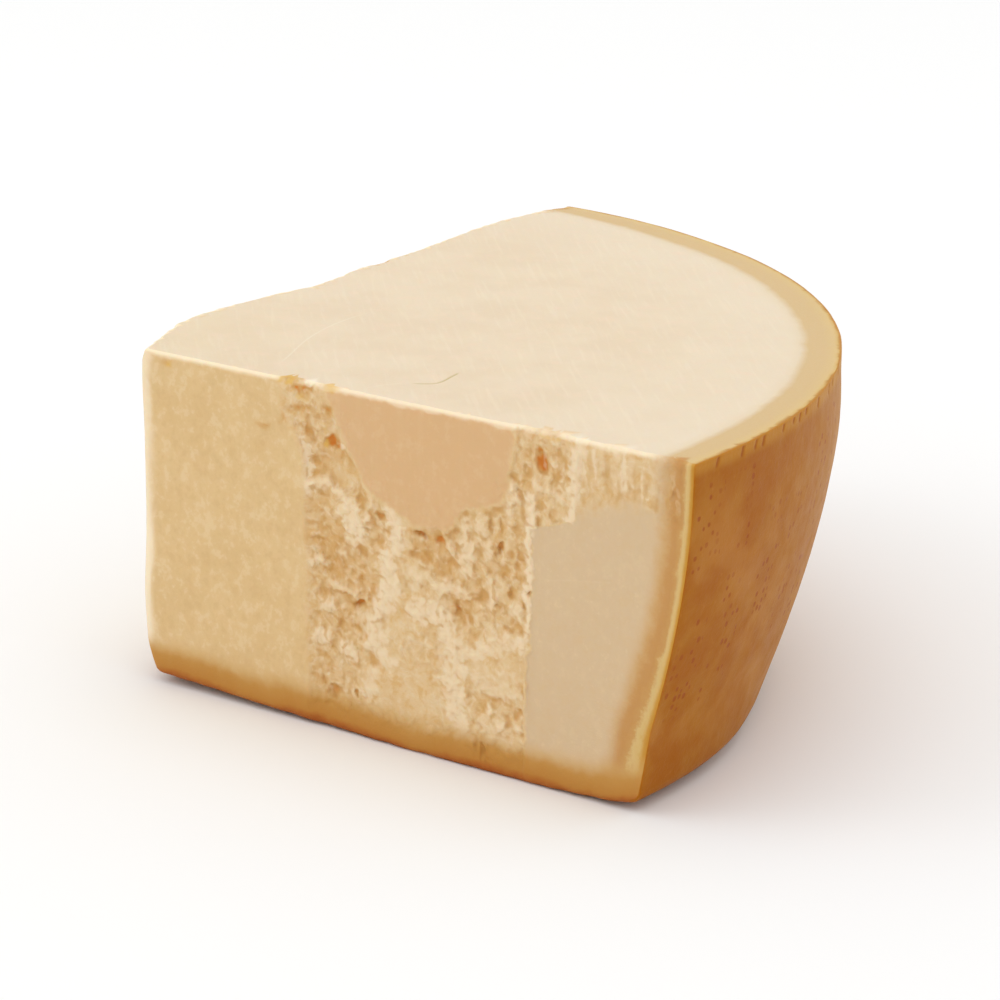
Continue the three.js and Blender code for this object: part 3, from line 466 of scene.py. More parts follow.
    # a faint knife scratch on the right-hand panel
    q, along = to_line(x, z, [(164, 56.8), (172, 58.4), (184, 60.2)])
    scratch = np.exp(-((q / 0.4) ** 2))
    out = out + 0.10 * scratch
    loose = np.clip(split + panel * fluted + lips, 0, 1)
    gold_stain_olive_tint_and_shade = np.where(gold_stain_olive_tint_and_shade < 0, gold_stain_olive_tint_and_shade * ramp(1.0, 0.6, dark), gold_stain_olive_tint_and_shade)
    dark = dark * allowed
    pale = pale * loose + 0.3 * scratch
    # chips out of the top edge
    chip = pit(wx, z, 75.2, 97.6, 5.2, 2.2) + 0.5 * pit(wx, z, 89, 97.4, 4.0, 1.6) + 0.4 * pit(wx, z, 163, 97.8, 8.5, 1.6) + 0.25 * pit(wx, z, 190, 98, 14, 1.4)
    out = out + 1.2 * chip
    return out, split, tongue, panel, fluted, dark, pale, chip, gold_stain_olive_tint_and_shade


# ------------------------------------------------------------------ back cut
def scatter_features(seed, box, inside, count_pits, count_ridges, count_crumbs):
    """Pits, ledges and crumbs for a split face that no view of the real block shows."""
    rng = np.random.default_rng(seed)
    x0, x1, z0, z1 = box
    pits, ridges, crumbs = [], [], []
    while len(pits) < count_pits:
        x, z = rng.uniform(x0, x1), rng.uniform(z0, z1)
        if inside(x, z) > 0.5:
            r = rng.uniform(0.9, 2.3)
            k = rng.uniform(0.45, 1.0)
            pits.append((x, z, r, r * k, rng.uniform(-35, 35), 0.5 + 0.75 * r * rng.uniform(0.6, 1.3), rng.uniform(0.3, 0.95)))
    while len(ridges) < count_ridges:
        x, z = rng.uniform(x0, x1), rng.uniform(z0, z1)
        if inside(x, z) > 0.5:
            a = rng.uniform(-130, -50)
            pts = [(x, z)]
            for _ in range(rng.integers(2, 6)):
                a += rng.uniform(-45, 45)
                x, z = x + 4.2 * math.cos(math.radians(a)), z + 4.2 * math.sin(math.radians(a))
                pts.append((x, z))
            ridges.append((pts, rng.uniform(0.8, 2.4), rng.uniform(0.9, 1.9), rng.uniform(0.4, 0.95)))
    while len(crumbs) < count_crumbs:
        x, z = rng.uniform(x0, x1), rng.uniform(z0, z1)
        if inside(x, z) > 0.5:
            crumbs.append((x, z, rng.uniform(0.9, 2.0), rng.uniform(0.6, 1.2), rng.uniform(0.4, 1.0)))
    return pits, ridges, crumbs


def back_split(q, z):
    """The split band of the back cut; q is measured from the nose."""
    wob = 0.5 * gnoise(q / 5, z / 5, 161) + 0.35 * gnoise(q / 2.1, z / 2.1, 162)
    near = np.interp(z, [0, 40, 62, 80, 98], [61, 60.4, 64, 74, 84])
    far = np.interp(z, [0, 30, 52, 60, 78, 98], [139, 139.6, 140.2, 131, 117, 106])
    roof = np.interp(q, [58, 70, 84, 96, 110, 126, 142], [70, 84, 101, 101, 92, 84, 62])
    return ramp(-1.4, 2.2, q - near + 1.6 * wob) * ramp(1.2, -1.4, q - far + 1.5 * wob) * ramp(2.6, -2.2, z - roof + 3 * wob)


BACK_FEATURES = scatter_features(4711, (60, 140, 1, 96), lambda q, z: float(back_split(np.array(q), np.array(z))), 74, 24, 26)
BACK_LEVELS = [(float(x), float(z), float(v)) for x, z, v in np.random.default_rng(52).uniform((58, 0, 0.4), (142, 97, 2.2), (46, 3))]


def back_relief(q, z):
    split = back_split(q, z)
    wx = q + 0.75 * gnoise(q / 3.1, z / 3.1, 171) + 0.35 * gnoise(q / 1.3, z / 1.3, 173)
    wz = z + 0.75 * gnoise(q / 3.1, z / 3.1, 172) + 0.35 * gnoise(q / 1.3, z / 1.3, 174)
    vx = wx + 1.3 * gnoise(q / 4.5, z / 4.5, 175)
    vz = wz + 1.3 * gnoise(q / 4.5, z / 4.5, 176)
    grit = gnoise(q / 1.6, z / 1.6, 177)
    broad = levels(wx, wz, BACK_LEVELS, 5.2)
    big, mid, fine, puff1, puff2 = broken(wx, wz, 181)
    lump = 0.55 * ramp(0.34, -0.15, puff1) + 0.45 * ramp(0.34, -0.15, puff2)
    calm = ramp(0.25, 0.6, gnoise(q / 15, z / 13, 191))
    rough = (1 - 0.8 * calm) * split * ramp(-1, 7, z)
    texture = rough * (0.70 * big + 0.42 * mid) + split * 0.42 * fine
    # painted highlight: the tops of the rounded crumbs are coloured pale
    pale = rough * (0.30 * ramp(-0.02, -0.35, puff1) + 0.18 * ramp(0.0, -0.4, puff2))
    pale = np.maximum(pale, 0.5 * rough * ramp(0.12, 0.6, gnoise(q / 2.0, z / 1.9, 184)))
    # painted shade: the split paste is coloured darker orange where the broad relief lies deeper
    dark = 0.42 * split * ramp(0.9, 2.9, broad + 0.5 * big) * (1 - 0.6 * calm)
    d = 0.75 + 1.2 * (broad - 0.75) + texture
    # painted shade: deeper split paste is coloured olive-brown, partly the paste's own olive tint
    olive_tint_and_shade = 0.66 * rough * ramp(0.08, 0.6, gnoise(q / 2.1, z / 1.8, 183)) * ramp(0.6, 1.7, broad + 0.5 * big)
    pits, ridges, crumbs = BACK_FEATURES
    for cx, cz, rx, rz, turn, deep, tone in pits:
        p = pit(vx, vz, cx, cz, 1.35 * rx, 1.35 * rz, turn)
        d = d + 0.30 * deep * p
        # painted shade: the pits are coloured dark orange, partly the paste's own orange
        dark = np.maximum(dark, 0.8 * tone * p)
    for pts, wide, rise, tone in ridges:
        s, along = to_line(vx, vz, pts)
        w_ = wide * (1 + 0.35 * gnoise(along * 9, rise, 195))
        p = np.exp(-((s / (1.2 * w_)) ** 2) * 0.9)
        d = mix(d, np.minimum(d, max(1.0 - 0.45 * rise, 0) + 0.85 * texture), 0.8 * p)
        # painted highlight along the ledges, partly paler paste
        pale = np.maximum(pale, tone * ramp(0.12, 0.72, np.exp(-((s / (1.6 * w_)) ** 2) * 0.9) * (0.50 + 0.85 * lump)) * (0.9 + 0.25 * grit))
    for cx, cz, r, rise, tone in crumbs:
        p = pit(wx, wz, cx, cz, r, r)
        d = d - 0.6 * rise * p
        # painted highlight on the raised crumbs, partly paler paste
        pale = np.maximum(pale, tone * p)
    d = np.maximum(d, -0.3) * mix(0.25, 1.0, ramp(-1, 7, z)) * mix(0.25, 1.0, ramp(-1, 7, q - np.interp(z, [0, 40, 62, 80, 98], [61, 60.4, 64, 74, 84])))
    far = ramp(0, 2, q - np.interp(z, [0, 52, 60, 98], [140, 140.5, 131, 106]))
    flat = 0.12 * gnoise(q / 26, z / 40, 163) + 0.02 * gnoise(q / 3.6, z / 14, 164) + 0.6 * far
    chip = pit(wx, z, 92, 97.4, 4.5, 2.2) + 0.6 * pit(wx, z, 104, 97.6, 3, 1.6)
    return mix(flat, d, split) + 1.4 * chip, split, far, dark * split, pale * split, chip, -np.clip(olive_tint_and_shade, 0, 1) * split


# ------------------------------------------------------------------ rows and columns of the side wall
def spread(stops):
    """Grid places from (start, spacing) pairs; the last pair only gives the end."""
    out = []
    for (a, step), (b, _) in zip(stops, stops[1:]):
        n = max(1, int(round((b - a) / step)))
        out += list(np.linspace(a, b, n, endpoint=False))
    return np.array(out + [stops[-1][0]])


EDGE = np.array([0, 0.10, 0.22, 0.38, 0.58, 0.85, 1.2, 1.65, 2.2])
rows = np.r_[
    [0, 0.03, 0.12, 0.28, 0.5, 0.8, 1.15, 1.5],
    spread([(1.9, 0.4), (94.2, 0)]),
    94.2 + (H - 94.2) * np.array([0.12, 0.24, 0.36, 0.47, 0.57, 0.66, 0.74, 0.81, 0.87, 0.92, 0.955, 0.98, 0.995, 1.0]),
]
zr = rows[:, None]
w = zr / H
rim_z = RIM + rows / H * (H - RIM)

bdir = np.array([math.cos(math.radians(BACK_DEG)), math.sin(math.radians(BACK_DEG))])
bin_ = np.array([bdir[1], -bdir[0]])
nvec = np.array([NOSE_X - NX, -NY])
NLEN = float(np.hypot(*nvec))
ndir = nvec / NLEN
nin = np.array([-ndir[1], ndir[0]])


def wear(z, top, low):
    k = np.clip(z - (H - top), 0, top)
    out = top - np.sqrt(np.maximum(top * top - k * k, 0))
    k = np.clip(low - z, 0, low)
    return out + low - np.sqrt(np.maximum(low * low - k * k, 0))


def cross(p, d, q, e):
    k = ((q[0] - p[0]) * e[1] - (q[1] - p[1]) * e[0]) / (d[0] * e[1] - d[1] * e[0])
    return p[0] + k * d[0], p[1] + k * d[1]


def to_rind(p, d, r):
    wx, wy = p[0] - AX, p[1] - AY
    b = wx * d[0] + wy * d[1]
    c = wx * wx + wy * wy - r * r
    k = -b + np.sqrt(b * b - c)
    return p[0] + k * d[0], p[1] + k * d[1]


w_cut = wear(rows, 1.0, 1.5)
w_nose = (
    w_cut + 3.0 * np.clip((10 - rows) / 10, 0, 1) ** 1.6 + 0.8 * ramp(93, 97, rows)
    - 1.1 * np.exp(-(((rows - 23.5) / 14) ** 2)) - 0.4 * np.exp(-(((rows - 87) / 9) ** 2)) + 0.1
)
rr = rind_radius(rim_z) - wear(rows, 0.35, 0.0001)
fP = (np.zeros_like(rows), w_cut)
bP = (NX + bin_[0] * w_cut, NY + bin_[1] * w_cut)
nP = (NX + nin[0] * w_nose, NY + nin[1] * w_nose)
Ax, Ay = cross(fP, (1.0, 0.0), nP, ndir)
Bx, By = to_rind(fP, (1.0, 0.0), rr + out_of_round(0.0, rim_z))
Cx, Cy = to_rind(bP, bdir, rr)
Nx_, Ny_ = cross(bP, bdir, nP, ndir)


def fillet(t, radius, inner_deg):
    """Along and inward offsets of a rounded corner at distance t from it."""
    half = math.radians(inner_deg) / 2
    T = radius / math.tan(half)
    th = (math.pi / 2 - half) * (1 - np.clip(t / T, 0, 1))
    inside = t < T
    return np.where(inside, T - radius * np.sin(th), t), np.where(inside, radius * (1 - np.cos(th)), 0.0)


RA, RB, RC, RN = 2.4, 0.45, 0.6, 3.0
IA, IB, IC, IN = 115.0, 90.5, 90.5, 154.8

# front: from the nose to the rind
g = np.r_[
    20 + np.array([0, 0.15, 0.35, 0.6, 0.95, 1.4, 1.9]),
    spread([(22.6, 0.75), (70, 0.38), (160, 0.42), (185, 0.45), (207.6, 0)]),
    210.2 - EDGE[1:][::-1],
]
tA = np.where(g < 30, (g - 20) / 10 * (30 - Ax[:, None]), g - Ax[:, None])
xs = Ax[:, None] + tA
xs = np.where(g > 160, 160 + (g - 160) * (Bx[:, None] - 160) / (210.2 - 160), xs)
tA = xs - Ax[:, None]
tB = Bx[:, None] - xs
ua, na = fillet(tA, RA, IA)
ub, nb = fillet(tB, RB, IB)
fx = np.where(tA < 10, Ax[:, None] + ua, Bx[:, None] - ub)
X = xs
Z = low_at(xs, 0 * xs) + w * (H - low_at(xs, 0 * xs))
F_d, F_split, F_tongue, F_panel, F_flute, F_dark, F_pale, F_chip, F_gold = front_relief(X, Z)
fade = ramp(0.3, 4.0, tA) * ramp(0.2, 2.6, tB)
ragged = 0.7 * np.clip(fbm(X / 4.2, Z / 9 + 3, 301, 3), -0.6, 1) + 0.35
edge_wear = np.clip(ragged, 0, None) * ramp(2.6, 0.2, H - Z) ** 2 * mix(0.3, 0.7, ramp(64, 76, X))
low_wear = 0.5 * np.clip(0.3 + gnoise(X / 7, 0 * X, 303), 0, None) * ramp(2.2, 0, zr)
D = (F_d + edge_wear + low_wear) * fade
front_xy = np.stack([fx + SHEAR * np.where(D > 0, D, 0.4 * D), w_cut[:, None] + na + nb + D], -1)

# the rind
phB = np.arctan2(By - AY, Bx - AX)[:, None]
phC = np.arctan2(Cy - AY, Cx - AX)[:, None]
L = (phC - phB) * R0
u = np.r_[EDGE[:-1], spread([(2.2, 0.6), (338.0, 0)])[:-1], 340.2 - EDGE[1:][::-1]]
s = np.where(u < 170, u, u + (L - 340.2) * np.clip((u - 170) / 160, 0, 1))
s = np.where(u > 330, L - (340.2 - u), s)
tB2, tC2 = s, L - s
ub, nb = fillet(tB2, RB, IB)
uc, nc = fillet(tC2, RC, IC)
se = np.where(tB2 < 5, ub, np.where(tC2 < 5, L - uc, s))
ph = phB + se / R0
rad = rr[:, None] + out_of_round(ph, rim_z[:, None]) - nb - nc
round_s = s + phB * R0
fade = ramp(0, 6, tB2) * ramp(0, 6, tC2)
# slow waves in the rind
Zr = rim_z[:, None] + 0 * s
wave = 0.35 * gnoise(round_s / 70, Zr / 45, 401) + 0.12 * gnoise(round_s / 19, Zr / 14, 402) + 0.04 * gnoise(round_s / 5, Zr / 5, 403)


def rim_notches(s, z):
    """Short upright nicks where the saw has cut through pricks at the rim."""
    k = np.floor(s / 6.0)
    ki = k.astype(np.int64)
    o = s - (k + 0.5 + 0.4 * (hsh(ki, 0 * ki, 421) - 0.5)) * 6.0
    tall = 1.9 + 1.6 * hsh(ki, 0 * ki, 422)
    lean = 0.35 * (z - H)
    return ramp(1.0, 0.3, np.abs(o - lean) / (0.75 + 0.35 * hsh(ki, 0 * ki, 423))) * ramp(tall + 0.6, tall - 0.4, H - z) * ramp(0.2, 0.7, H - z) * (hsh(ki, 0 * ki, 424) < 0.78)


nick = rim_notches(round_s, Zr)
R_in = wave * fade + 0.22 * nick * fade
rad = rad - R_in
round_xy = np.stack([AX + rad * np.cos(ph), AY + rad * np.sin(ph)], -1)

# back: from the rind to the nose, places measured from the nose
Lb = np.hypot(Cx - Nx_, Cy - Ny_)[:, None]
q0 = np.r_[191.5 - EDGE[:-1], np.sort(spread([(3.0, 0.8), (48, 0.5), (142, 0.9), (186, 0.6), (189.3, 0)]))[::-1], [2.3, 1.6, 0.9, 0.35]]
qb = np.where(q0 > 140, 140 + (q0 - 140) * (Lb - 140) / (191.5 - 140), q0)
tC, tN = Lb - qb, qb
uc, nc = fillet(tC, RC, IC)
un, nn = fillet(tN, RN, IN)
qq = np.where(tN < 10, un, Lb - uc)
Zb = low_at(NX + bdir[0] * qb, NY + bdir[1] * qb)
Zb = Zb + w * (H - Zb)
B_d, B_split, B_far, B_dark, B_pale, B_chip, B_gold = back_relief(qb, Zb)
fade = ramp(0.2, 3.0, tC) * ramp(0.2, 3.5, tN)
ragged = 0.9 * np.clip(fbm(qb / 4.2, Zb / 9 + 3, 311, 3), -0.6, 1) + 0.5
b_edge = np.clip(ragged, 0, None) * ramp(2.6, 0.2, H - Zb) ** 2 * 0.9
bD = (B_d + b_edge) * fade
inn = nc + nn + bD - back_bow(qb)
back_xy = np.stack([Nx_[:, None] + bdir[0] * qq + bin_[0] * inn, Ny_[:, None] + bdir[1] * qq + bin_[1] * inn], -1)

# the nose: from the back cut to the front cut
Ln = np.hypot(Ax - Nx_, Ay - Ny_)[:, None]
v0 = np.r_[[0, 0.35, 0.9, 1.6], spread([(2.3, 0.6), (25.6, 0)]), [26.2, 26.8, 27.3, 27.7, 28.0]] / 28.13
v = v0[None, :] * Ln
tN2, tA2 = v, Ln - v
un, nn = fillet(tN2, RN, IN)
ua, na = fillet(tA2, RA, IA)
vv = np.where(tN2 < 8, un, Ln - ua)
Zn = zr + 0 * v + 1.0 * (1 - w)
n_rough = 0.5 * fbm(v / 9, Zn / 13, 501, 3) + 0.25 * gnoise(v / 3, Zn / 3.4, 502) + 0.12 * (cells(v / 1.8, Zn / 1.8, 503)[0] - 0.45)
fade = ramp(0.2, 4, tN2) * ramp(0.2, 4, tA2)
nD = (0.25 + 1.1 * n_rough) * fade
nose_in = nn + na + nD
nose_xy = np.stack([Nx_[:, None] + ndir[0] * vv + nin[0] * nose_in, Ny_[:, None] + ndir[1] * vv + nin[1] * nose_in], -1)

# ------------------------------------------------------------------ what each place looks like
CELL = 0.4


def hollowness(d, ax, az):
    """Share by which a place lies deeper (+) or prouder (-) than its surroundings, from an even copy of the relief."""
    gx = np.arange(ax[0], ax[-1], CELL)
    gz = np.arange(0, H, CELL)
    even = np.empty((len(gz), len(gx)))
    tmp = np.stack([np.interp(gx, ax, r) for r in d])
    for c in range(len(gx)):
        even[:, c] = np.interp(gz, az, tmp[:, c])
    fine = even - blur(even, 0.9 / CELL, 0.9 / CELL)
    wide = even - blur(even, 2.6 / CELL, 2.6 / CELL)
    out = 1.1 * fine + 0.55 * wide
    back = np.stack([np.interp(ax, gx, r) for r in out])
    res = np.empty((len(az), len(ax)))
    for c in range(len(ax)):
        res[:, c] = np.interp(az, gz, back[:, c])
    return res


mid = len(rows) // 2
F_cav = hollowness(D, xs[mid], rows)
qs = qb[mid][::-1]
B_cav = hollowness(bD[:, ::-1], qs, rows)[:, ::-1]
N_cav = hollowness(nD, v[mid], rows)


def rim_share(a, z, seed, chip):
    tall = 1.45 + 0.8 * gnoise(a / 8.5, 0 * a, seed) + 0.3 * gnoise(a / 2.4, 0 * a, seed + 1)
    lip = ramp(1.2, -1.1, (H - z) - np.clip(tall, 0.6, 4)) * mix(0.55, 0.85, ramp(1.0, 0.2, H - z)) * (1 - np.clip(1.3 * chip, 0, 1))
    under = ramp(-0.4, 0.8, (H - z) - np.clip(tall, 0.5, 4)) * ramp(5.2, 2.0, (H - z) + 1.3 * gnoise(a / 9, z / 3, seed + 2))
    return lip - under * mix(0.55, 1.0, chip)


F_rim = rim_share(X, Z, 321, F_chip)
strip = ramp(5.0, 1.6, tA + 1.1 * gnoise(X / 4, Z / 9, 325) + 0.5 * gnoise(X / 2, Z / 2.6, 326)) * ramp(3, 14, Z) * mix(0.75, 1.0, ramp(60, 40, Z))
F_rim = np.maximum(F_rim, 0.85 * strip)
B_rim = rim_share(qb, Zb, 331, B_chip)
N_rim = rim_share(v, Zn, 341, 0 * v)

parts = []


def side_patch(xy, z, patch, cav, dark, pale, split, tone, rim, marks, skin, gold=0):
    shape = xy.shape[:2]
    full = lambda a: np.broadcast_to(a, shape).astype(float)
    parts.append(dict(xy=xy, z=full(z), patch=patch, cav=full(cav), dark=full(dark), pale=full(pale), split=full(split), tone=full(tone), rim=full(rim), mark=full(marks), skin=full(skin), gold=full(gold)))


F_tone = F_tongue * (1 - F_split) - F_panel * (1 - F_split) * ramp(208, 196, X)
side_patch(front_xy, zr, 0, F_cav, F_dark, F_pale, np.clip(F_split + F_panel * F_flute, 0, 1), F_tone, F_rim, 0, 0, F_gold)
side_patch(round_xy, zr, 1, 0, 0, 0, 0, 0, 0, np.clip(0.75 * nick, 0, 1), 1)
side_patch(back_xy, zr, 2, B_cav, B_dark, B_pale, B_split, -0.6 * B_far, B_rim, 0, 0, B_gold)
side_patch(nose_xy, zr, 3, N_cav, 0, 0, 0.35, 0, N_rim, 0, 0)

cols = sum(p["xy"].shape[1] for p in parts)
nrow = len(rows)
xy = np.concatenate([p["xy"] for p in parts], 1)
zz = mix(low_at(xy[..., 0], xy[..., 1]), top_at(xy[..., 0], xy[..., 1]), w) + LIFT
lateral = np.concatenate([xy, zz[..., None]], 2).reshape(-1, 3)
attr = {k: np.concatenate([p[k] for p in parts], 1).ravel() for k in ("cav", "dark", "pale", "split", "tone", "rim", "mark", "skin", "gold")}
col_patch = np.concatenate([[p["patch"]] * p["xy"].shape[1] for p in parts])
idx = np.arange(nrow * cols).reshape(nrow, cols)
a, b = idx[:-1], np.roll(idx, -1, 1)[:-1]
c, d_ = np.roll(idx, -1, 1)[1:], idx[1:]
quads = np.stack([a, b, c, d_], -1).reshape(-1, 4)
quad_patch = np.tile(col_patch, nrow - 1)


# ------------------------------------------------------------------ top cut and flat rind face
def cap(loop, spacing, margin, seed, extra=()):
    """Points inside a closed outline and the triangles between them and the outline."""
    n = len(loop)
    rng = np.random.default_rng(seed)
    gx, gy = np.meshgrid(np.arange(-2, 216, spacing), np.arange(-2, 222, spacing * 0.866))
    gx = gx + (np.arange(gx.shape[0]) % 2)[:, None] * spacing / 2
    pts = np.stack([gx.ravel(), gy.ravel()], 1) + rng.uniform(-0.18, 0.18, (gx.size, 2)) * spacing
    if len(extra):
        near = np.min(np.hypot(pts[:, None, 0] - extra[None, ::3, 0], pts[:, None, 1] - extra[None, ::3, 1]), 1)
        pts = np.concatenate([pts[near > spacing * 0.5], extra])
    # inside test and distance to the outline
    keep = np.zeros(len(pts), bool)
    ex, ey = np.roll(loop[:, 0], -1), np.roll(loop[:, 1], -1)
    dist = np.full(len(pts), 1e9)
    for i in range(0, n):
        x0, y0, x1, y1 = loop[i, 0], loop[i, 1], ex[i], ey[i]
        flip = (y0 > pts[:, 1]) != (y1 > pts[:, 1])
        if flip.any():
            xi = (x1 - x0) * (pts[flip, 1] - y0) / (y1 - y0) + x0
            k = np.where(flip)[0][pts[flip, 0] < xi]
            keep[k] ^= True
        if i % 2 == 0:
            dist = np.minimum(dist, np.hypot(pts[:, 0] - x0, pts[:, 1] - y0))
    pts = pts[keep & (dist > margin)]
    co = [Vector(p) for p in np.concatenate([loop, pts])]
    ring = list(range(n))
    out = delaunay_2d_cdt(co, [], [ring], 1, 1e-7)
    if len(out[0]) != len(co):
        raise RuntimeError("outline crosses itself")
    order = np.array([o[0] for o in out[3]])
    tris = order[np.array([list(f) for f in out[2]])]
    p = np.concatenate([loop, pts])
    area = np.cross(p[tris[:, 1]] - p[tris[:, 0]], p[tris[:, 2]] - p[tris[:, 0]])
    tris[area < 0] = tris[area < 0][:, ::-1]
    return pts, tris


def on_arc(cx, cy, r, a0, a1, step):
    n = int(abs(math.radians(a1 - a0)) * r / step)
    t = np.radians(np.linspace(a0, a1, n))
    return np.stack([cx + r * np.cos(t), cy + r * np.sin(t)], 1)


SCRATCHES = [
    ([(62.5, 9), (57, 21.5), (52.3, 30.5), (47.2, 44.2), (44.2, 58), (43.5, 68), (44.5, 78)], 0.38, 0.07, 0.42),
    ([(106.8, 34.6), (108.4, 27.9), (109.9, 21.5), (106.4, 18.4), (102.5, 16.8)], 0.42, 0.14, -0.6),
    ([(102.5, 16.8), (98.6, 11.5), (96.9, 4)], 0.35, 0.05, 0.35),
]


def eased(line):
    """The bent line with its corners cut off, three times over."""
    line = np.array(line, float)
    for _ in range(3):
        a, b = line[:-1], line[1:]
        line = np.concatenate([line[:1], np.stack([0.75 * a + 0.25 * b, 0.25 * a + 0.75 * b], 1).reshape(-1, 2), line[-1:]])
    return line


SCRATCHES = [(eased(line), wide, deep, tone) for line, wide, deep, tone in SCRATCHES]
scratch_pts = []
for line, wide, deep, tone in SCRATCHES:
    run = np.r_[0, np.cumsum(np.hypot(*(line[1:] - line[:-1]).T))]
    t = np.arange(0, run[-1], 0.9)
    cx, cy = np.interp(t, run, line[:, 0]), np.interp(t, run, line[:, 1])
    tx, ty = np.gradient(cx), np.gradient(cy)
    tl = np.hypot(tx, ty)
    for o in (-0.9, -0.35, 0.0, 0.35, 0.9):
        scratch_pts.append(np.stack([cx - ty / tl * o, cy + tx / tl * o], 1))
scratch_pts = np.concatenate(scratch_pts)


def top_marks(x, y):
    deep = np.zeros_like(x)
    tone = np.zeros_like(x)
    for line, wide, d, t in SCRATCHES:
        q, along = to_line(x, y, line)
        p = np.exp(-((q / wide) ** 2)) * ramp(0, 0.12, along) * ramp(1, 0.8, along)
        deep += d * p
        tone += t * p
    return deep, tone


base = nrow * cols
top_loop = lateral[(nrow - 1) * cols :, :2]
top_pts, top_tris = cap(top_loop, 2.3, 0.9, 5, scratch_pts)
deep, scr = top_marks(top_pts[:, 0], top_pts[:, 1])
fine = 0.05 * gnoise(top_pts[:, 0] / 4, top_pts[:, 1] / 4, 903) * 0.6
top_xyz = np.column_stack([top_pts, top_at(top_pts[:, 0], top_pts[:, 1]) + LIFT - deep + fine])
low_loop = lateral[:cols, :2]
low_pts, low_tris = cap(low_loop, 4.0, 1.2, 6)
low_xyz = np.column_stack([low_pts, low_at(low_pts[:, 0], low_pts[:, 1]) + LIFT + 0.12 + 0.12 * gnoise(low_pts[:, 0] / 14, low_pts[:, 1] / 14, 905)])


def cap_index(tris, n_loop, loop_start, first):
    return np.where(tris < n_loop, tris + loop_start, tris - n_loop + first)


t_idx = cap_index(top_tris, cols, (nrow - 1) * cols, base)
l_idx = cap_index(low_tris[:, ::-1], cols, 0, base + len(top_xyz))
co = np.concatenate([lateral, top_xyz, low_xyz])
nt, nl = len(top_xyz), len(low_xyz)
for k in attr:
    attr[k] = np.concatenate([attr[k], np.zeros(nt + nl)])
attr["top"] = np.zeros(len(co))
attr["top"][base : base + nt] = 1
attr["top"][(nrow - 1) * cols : nrow * cols] = 1
attr["pale"][base : base + nt] = scr
attr["skin"][base + nt :] = 1
# distance in from the round rind and up from the flat one
rho = np.hypot(co[:, 0] - AX, co[:, 1] - AY)
angle = np.arctan2(co[:, 1] - AY, co[:, 0] - AX)
height = np.clip(co[:, 2] - LIFT, 0, H)
rd = np.maximum(rind_radius(height) + out_of_round(angle, height) - rho, 0)
is_round = np.zeros(len(co), bool)
is_round[:base] = np.tile(col_patch == 1, nrow)
rd[is_round] = 0
attr["rd"] = rd
attr["rb"] = np.where(np.arange(len(co)) >= base + nt, 0, co[:, 2] - LIFT - low_at(co[:, 0], co[:, 1]))


# ------------------------------------------------------------------ the mesh
def make_mesh(name, co, quads, tris, face_patch):
    me = bpy.data.meshes.new(name)
    me.vertices.add(len(co))
    me.vertices.foreach_set("co", co.astype(np.float32).ravel())
    loops = np.concatenate([quads.ravel(), tris.ravel()]).astype(np.int32)
    me.loops.add(len(loops))
    me.loops.foreach_set("vertex_index", loops)
    starts = np.r_[np.arange(len(quads)) * 4, len(quads) * 4 + np.arange(len(tris)) * 3].astype(np.int32)
    me.polygons.add(len(starts))
    me.polygons.foreach_set("loop_start", starts)
    me.polygons.foreach_set("material_index", face_patch.astype(np.int32))
    me.update(calc_edges=True)
    me.validate()
    return me


tris = np.concatenate([t_idx, l_idx])
face_patch = np.r_[quad_patch, np.full(len(t_idx), 4), np.full(len(l_idx), 5)]
metres = (co - np.array([SHIFT[0], SHIFT[1], 0.0])) * 0.001
dense = make_mesh("dense", metres, quads, tris, face_patch)
for k, val in attr.items():
    at = dense.attributes.new(k, "FLOAT", "POINT")
    at.data.foreach_set("value", val.astype(np.float32))
total = len(quads) * 2 + len(tris)
carrier = bpy.data.objects.new("dense", dense)
bpy.context.scene.collection.objects.link(carrier)
dm = carrier.modifiers.new("thin", "DECIMATE")
dm.ratio = TRIANGLES / total
dg = bpy.context.evaluated_depsgraph_get()
mesh = bpy.data.meshes.new_from_object(carrier.evaluated_get(dg))
mesh.name = "cheese_block"
bpy.data.objects.remove(carrier)
bpy.data.meshes.remove(dense)
nv, nf = len(mesh.vertices), len(mesh.polygons)
print("block:", nv, "vertices", nf, "faces from", total)

# ------------------------------------------------------------------ flat layout of the surface
pc = np.empty(nv * 3, np.float32)
mesh.vertices.foreach_get("co", pc)
pc = pc.reshape(-1, 3).astype(float) * 1000 + np.array([SHIFT[0], SHIFT[1], 0.0])
fp = np.empty(nf, np.int32)
mesh.polygons.foreach_get("material_index", fp)
nloop = len(mesh.loops)
lv = np.empty(nloop, np.int32)
mesh.loops.foreach_get("vertex_index", lv)
ls = np.empty(nf, np.int32)
mesh.polygons.foreach_get("loop_start", ls)
lt = np.empty(nf, np.int32)
mesh.polygons.foreach_get("loop_total", lt)
lp = np.repeat(fp, lt)
P = pc[lv]
uv = np.zeros((nloop, 2))
SHEET = 462.0
place = {4: (4, 4), 5: (222, 4), 0: (4, 232), 2: (208, 232), 1: (4, 340), 3: (410, 232)}
for k, (ox, oy) in place.items():
    m = lp == k
    x, y, z = P[m].T
    if k == 0:
        uu, vv_ = np.where(y > 0, x - SHEAR * y, x) - 15, z
    elif k == 1:
        uu, vv_ = R0 * np.arctan2(y - AY, x - AX) + 3, z
    elif k == 2:
        uu, vv_ = (x - NX) * bdir[0] + (y - NY) * bdir[1], z
    elif k == 3:
        uu, vv_ = (x - NX) * ndir[0] + (y - NY) * ndir[1], z
    else:
        uu, vv_ = x, y
    uv[m, 0] = (ox + uu) / SHEET
    uv[m, 1] = (oy + vv_) / SHEET
layer = mesh.uv_layers.new(name="OFBake")
layer.data.foreach_set("uv", uv.astype(np.float32).ravel())
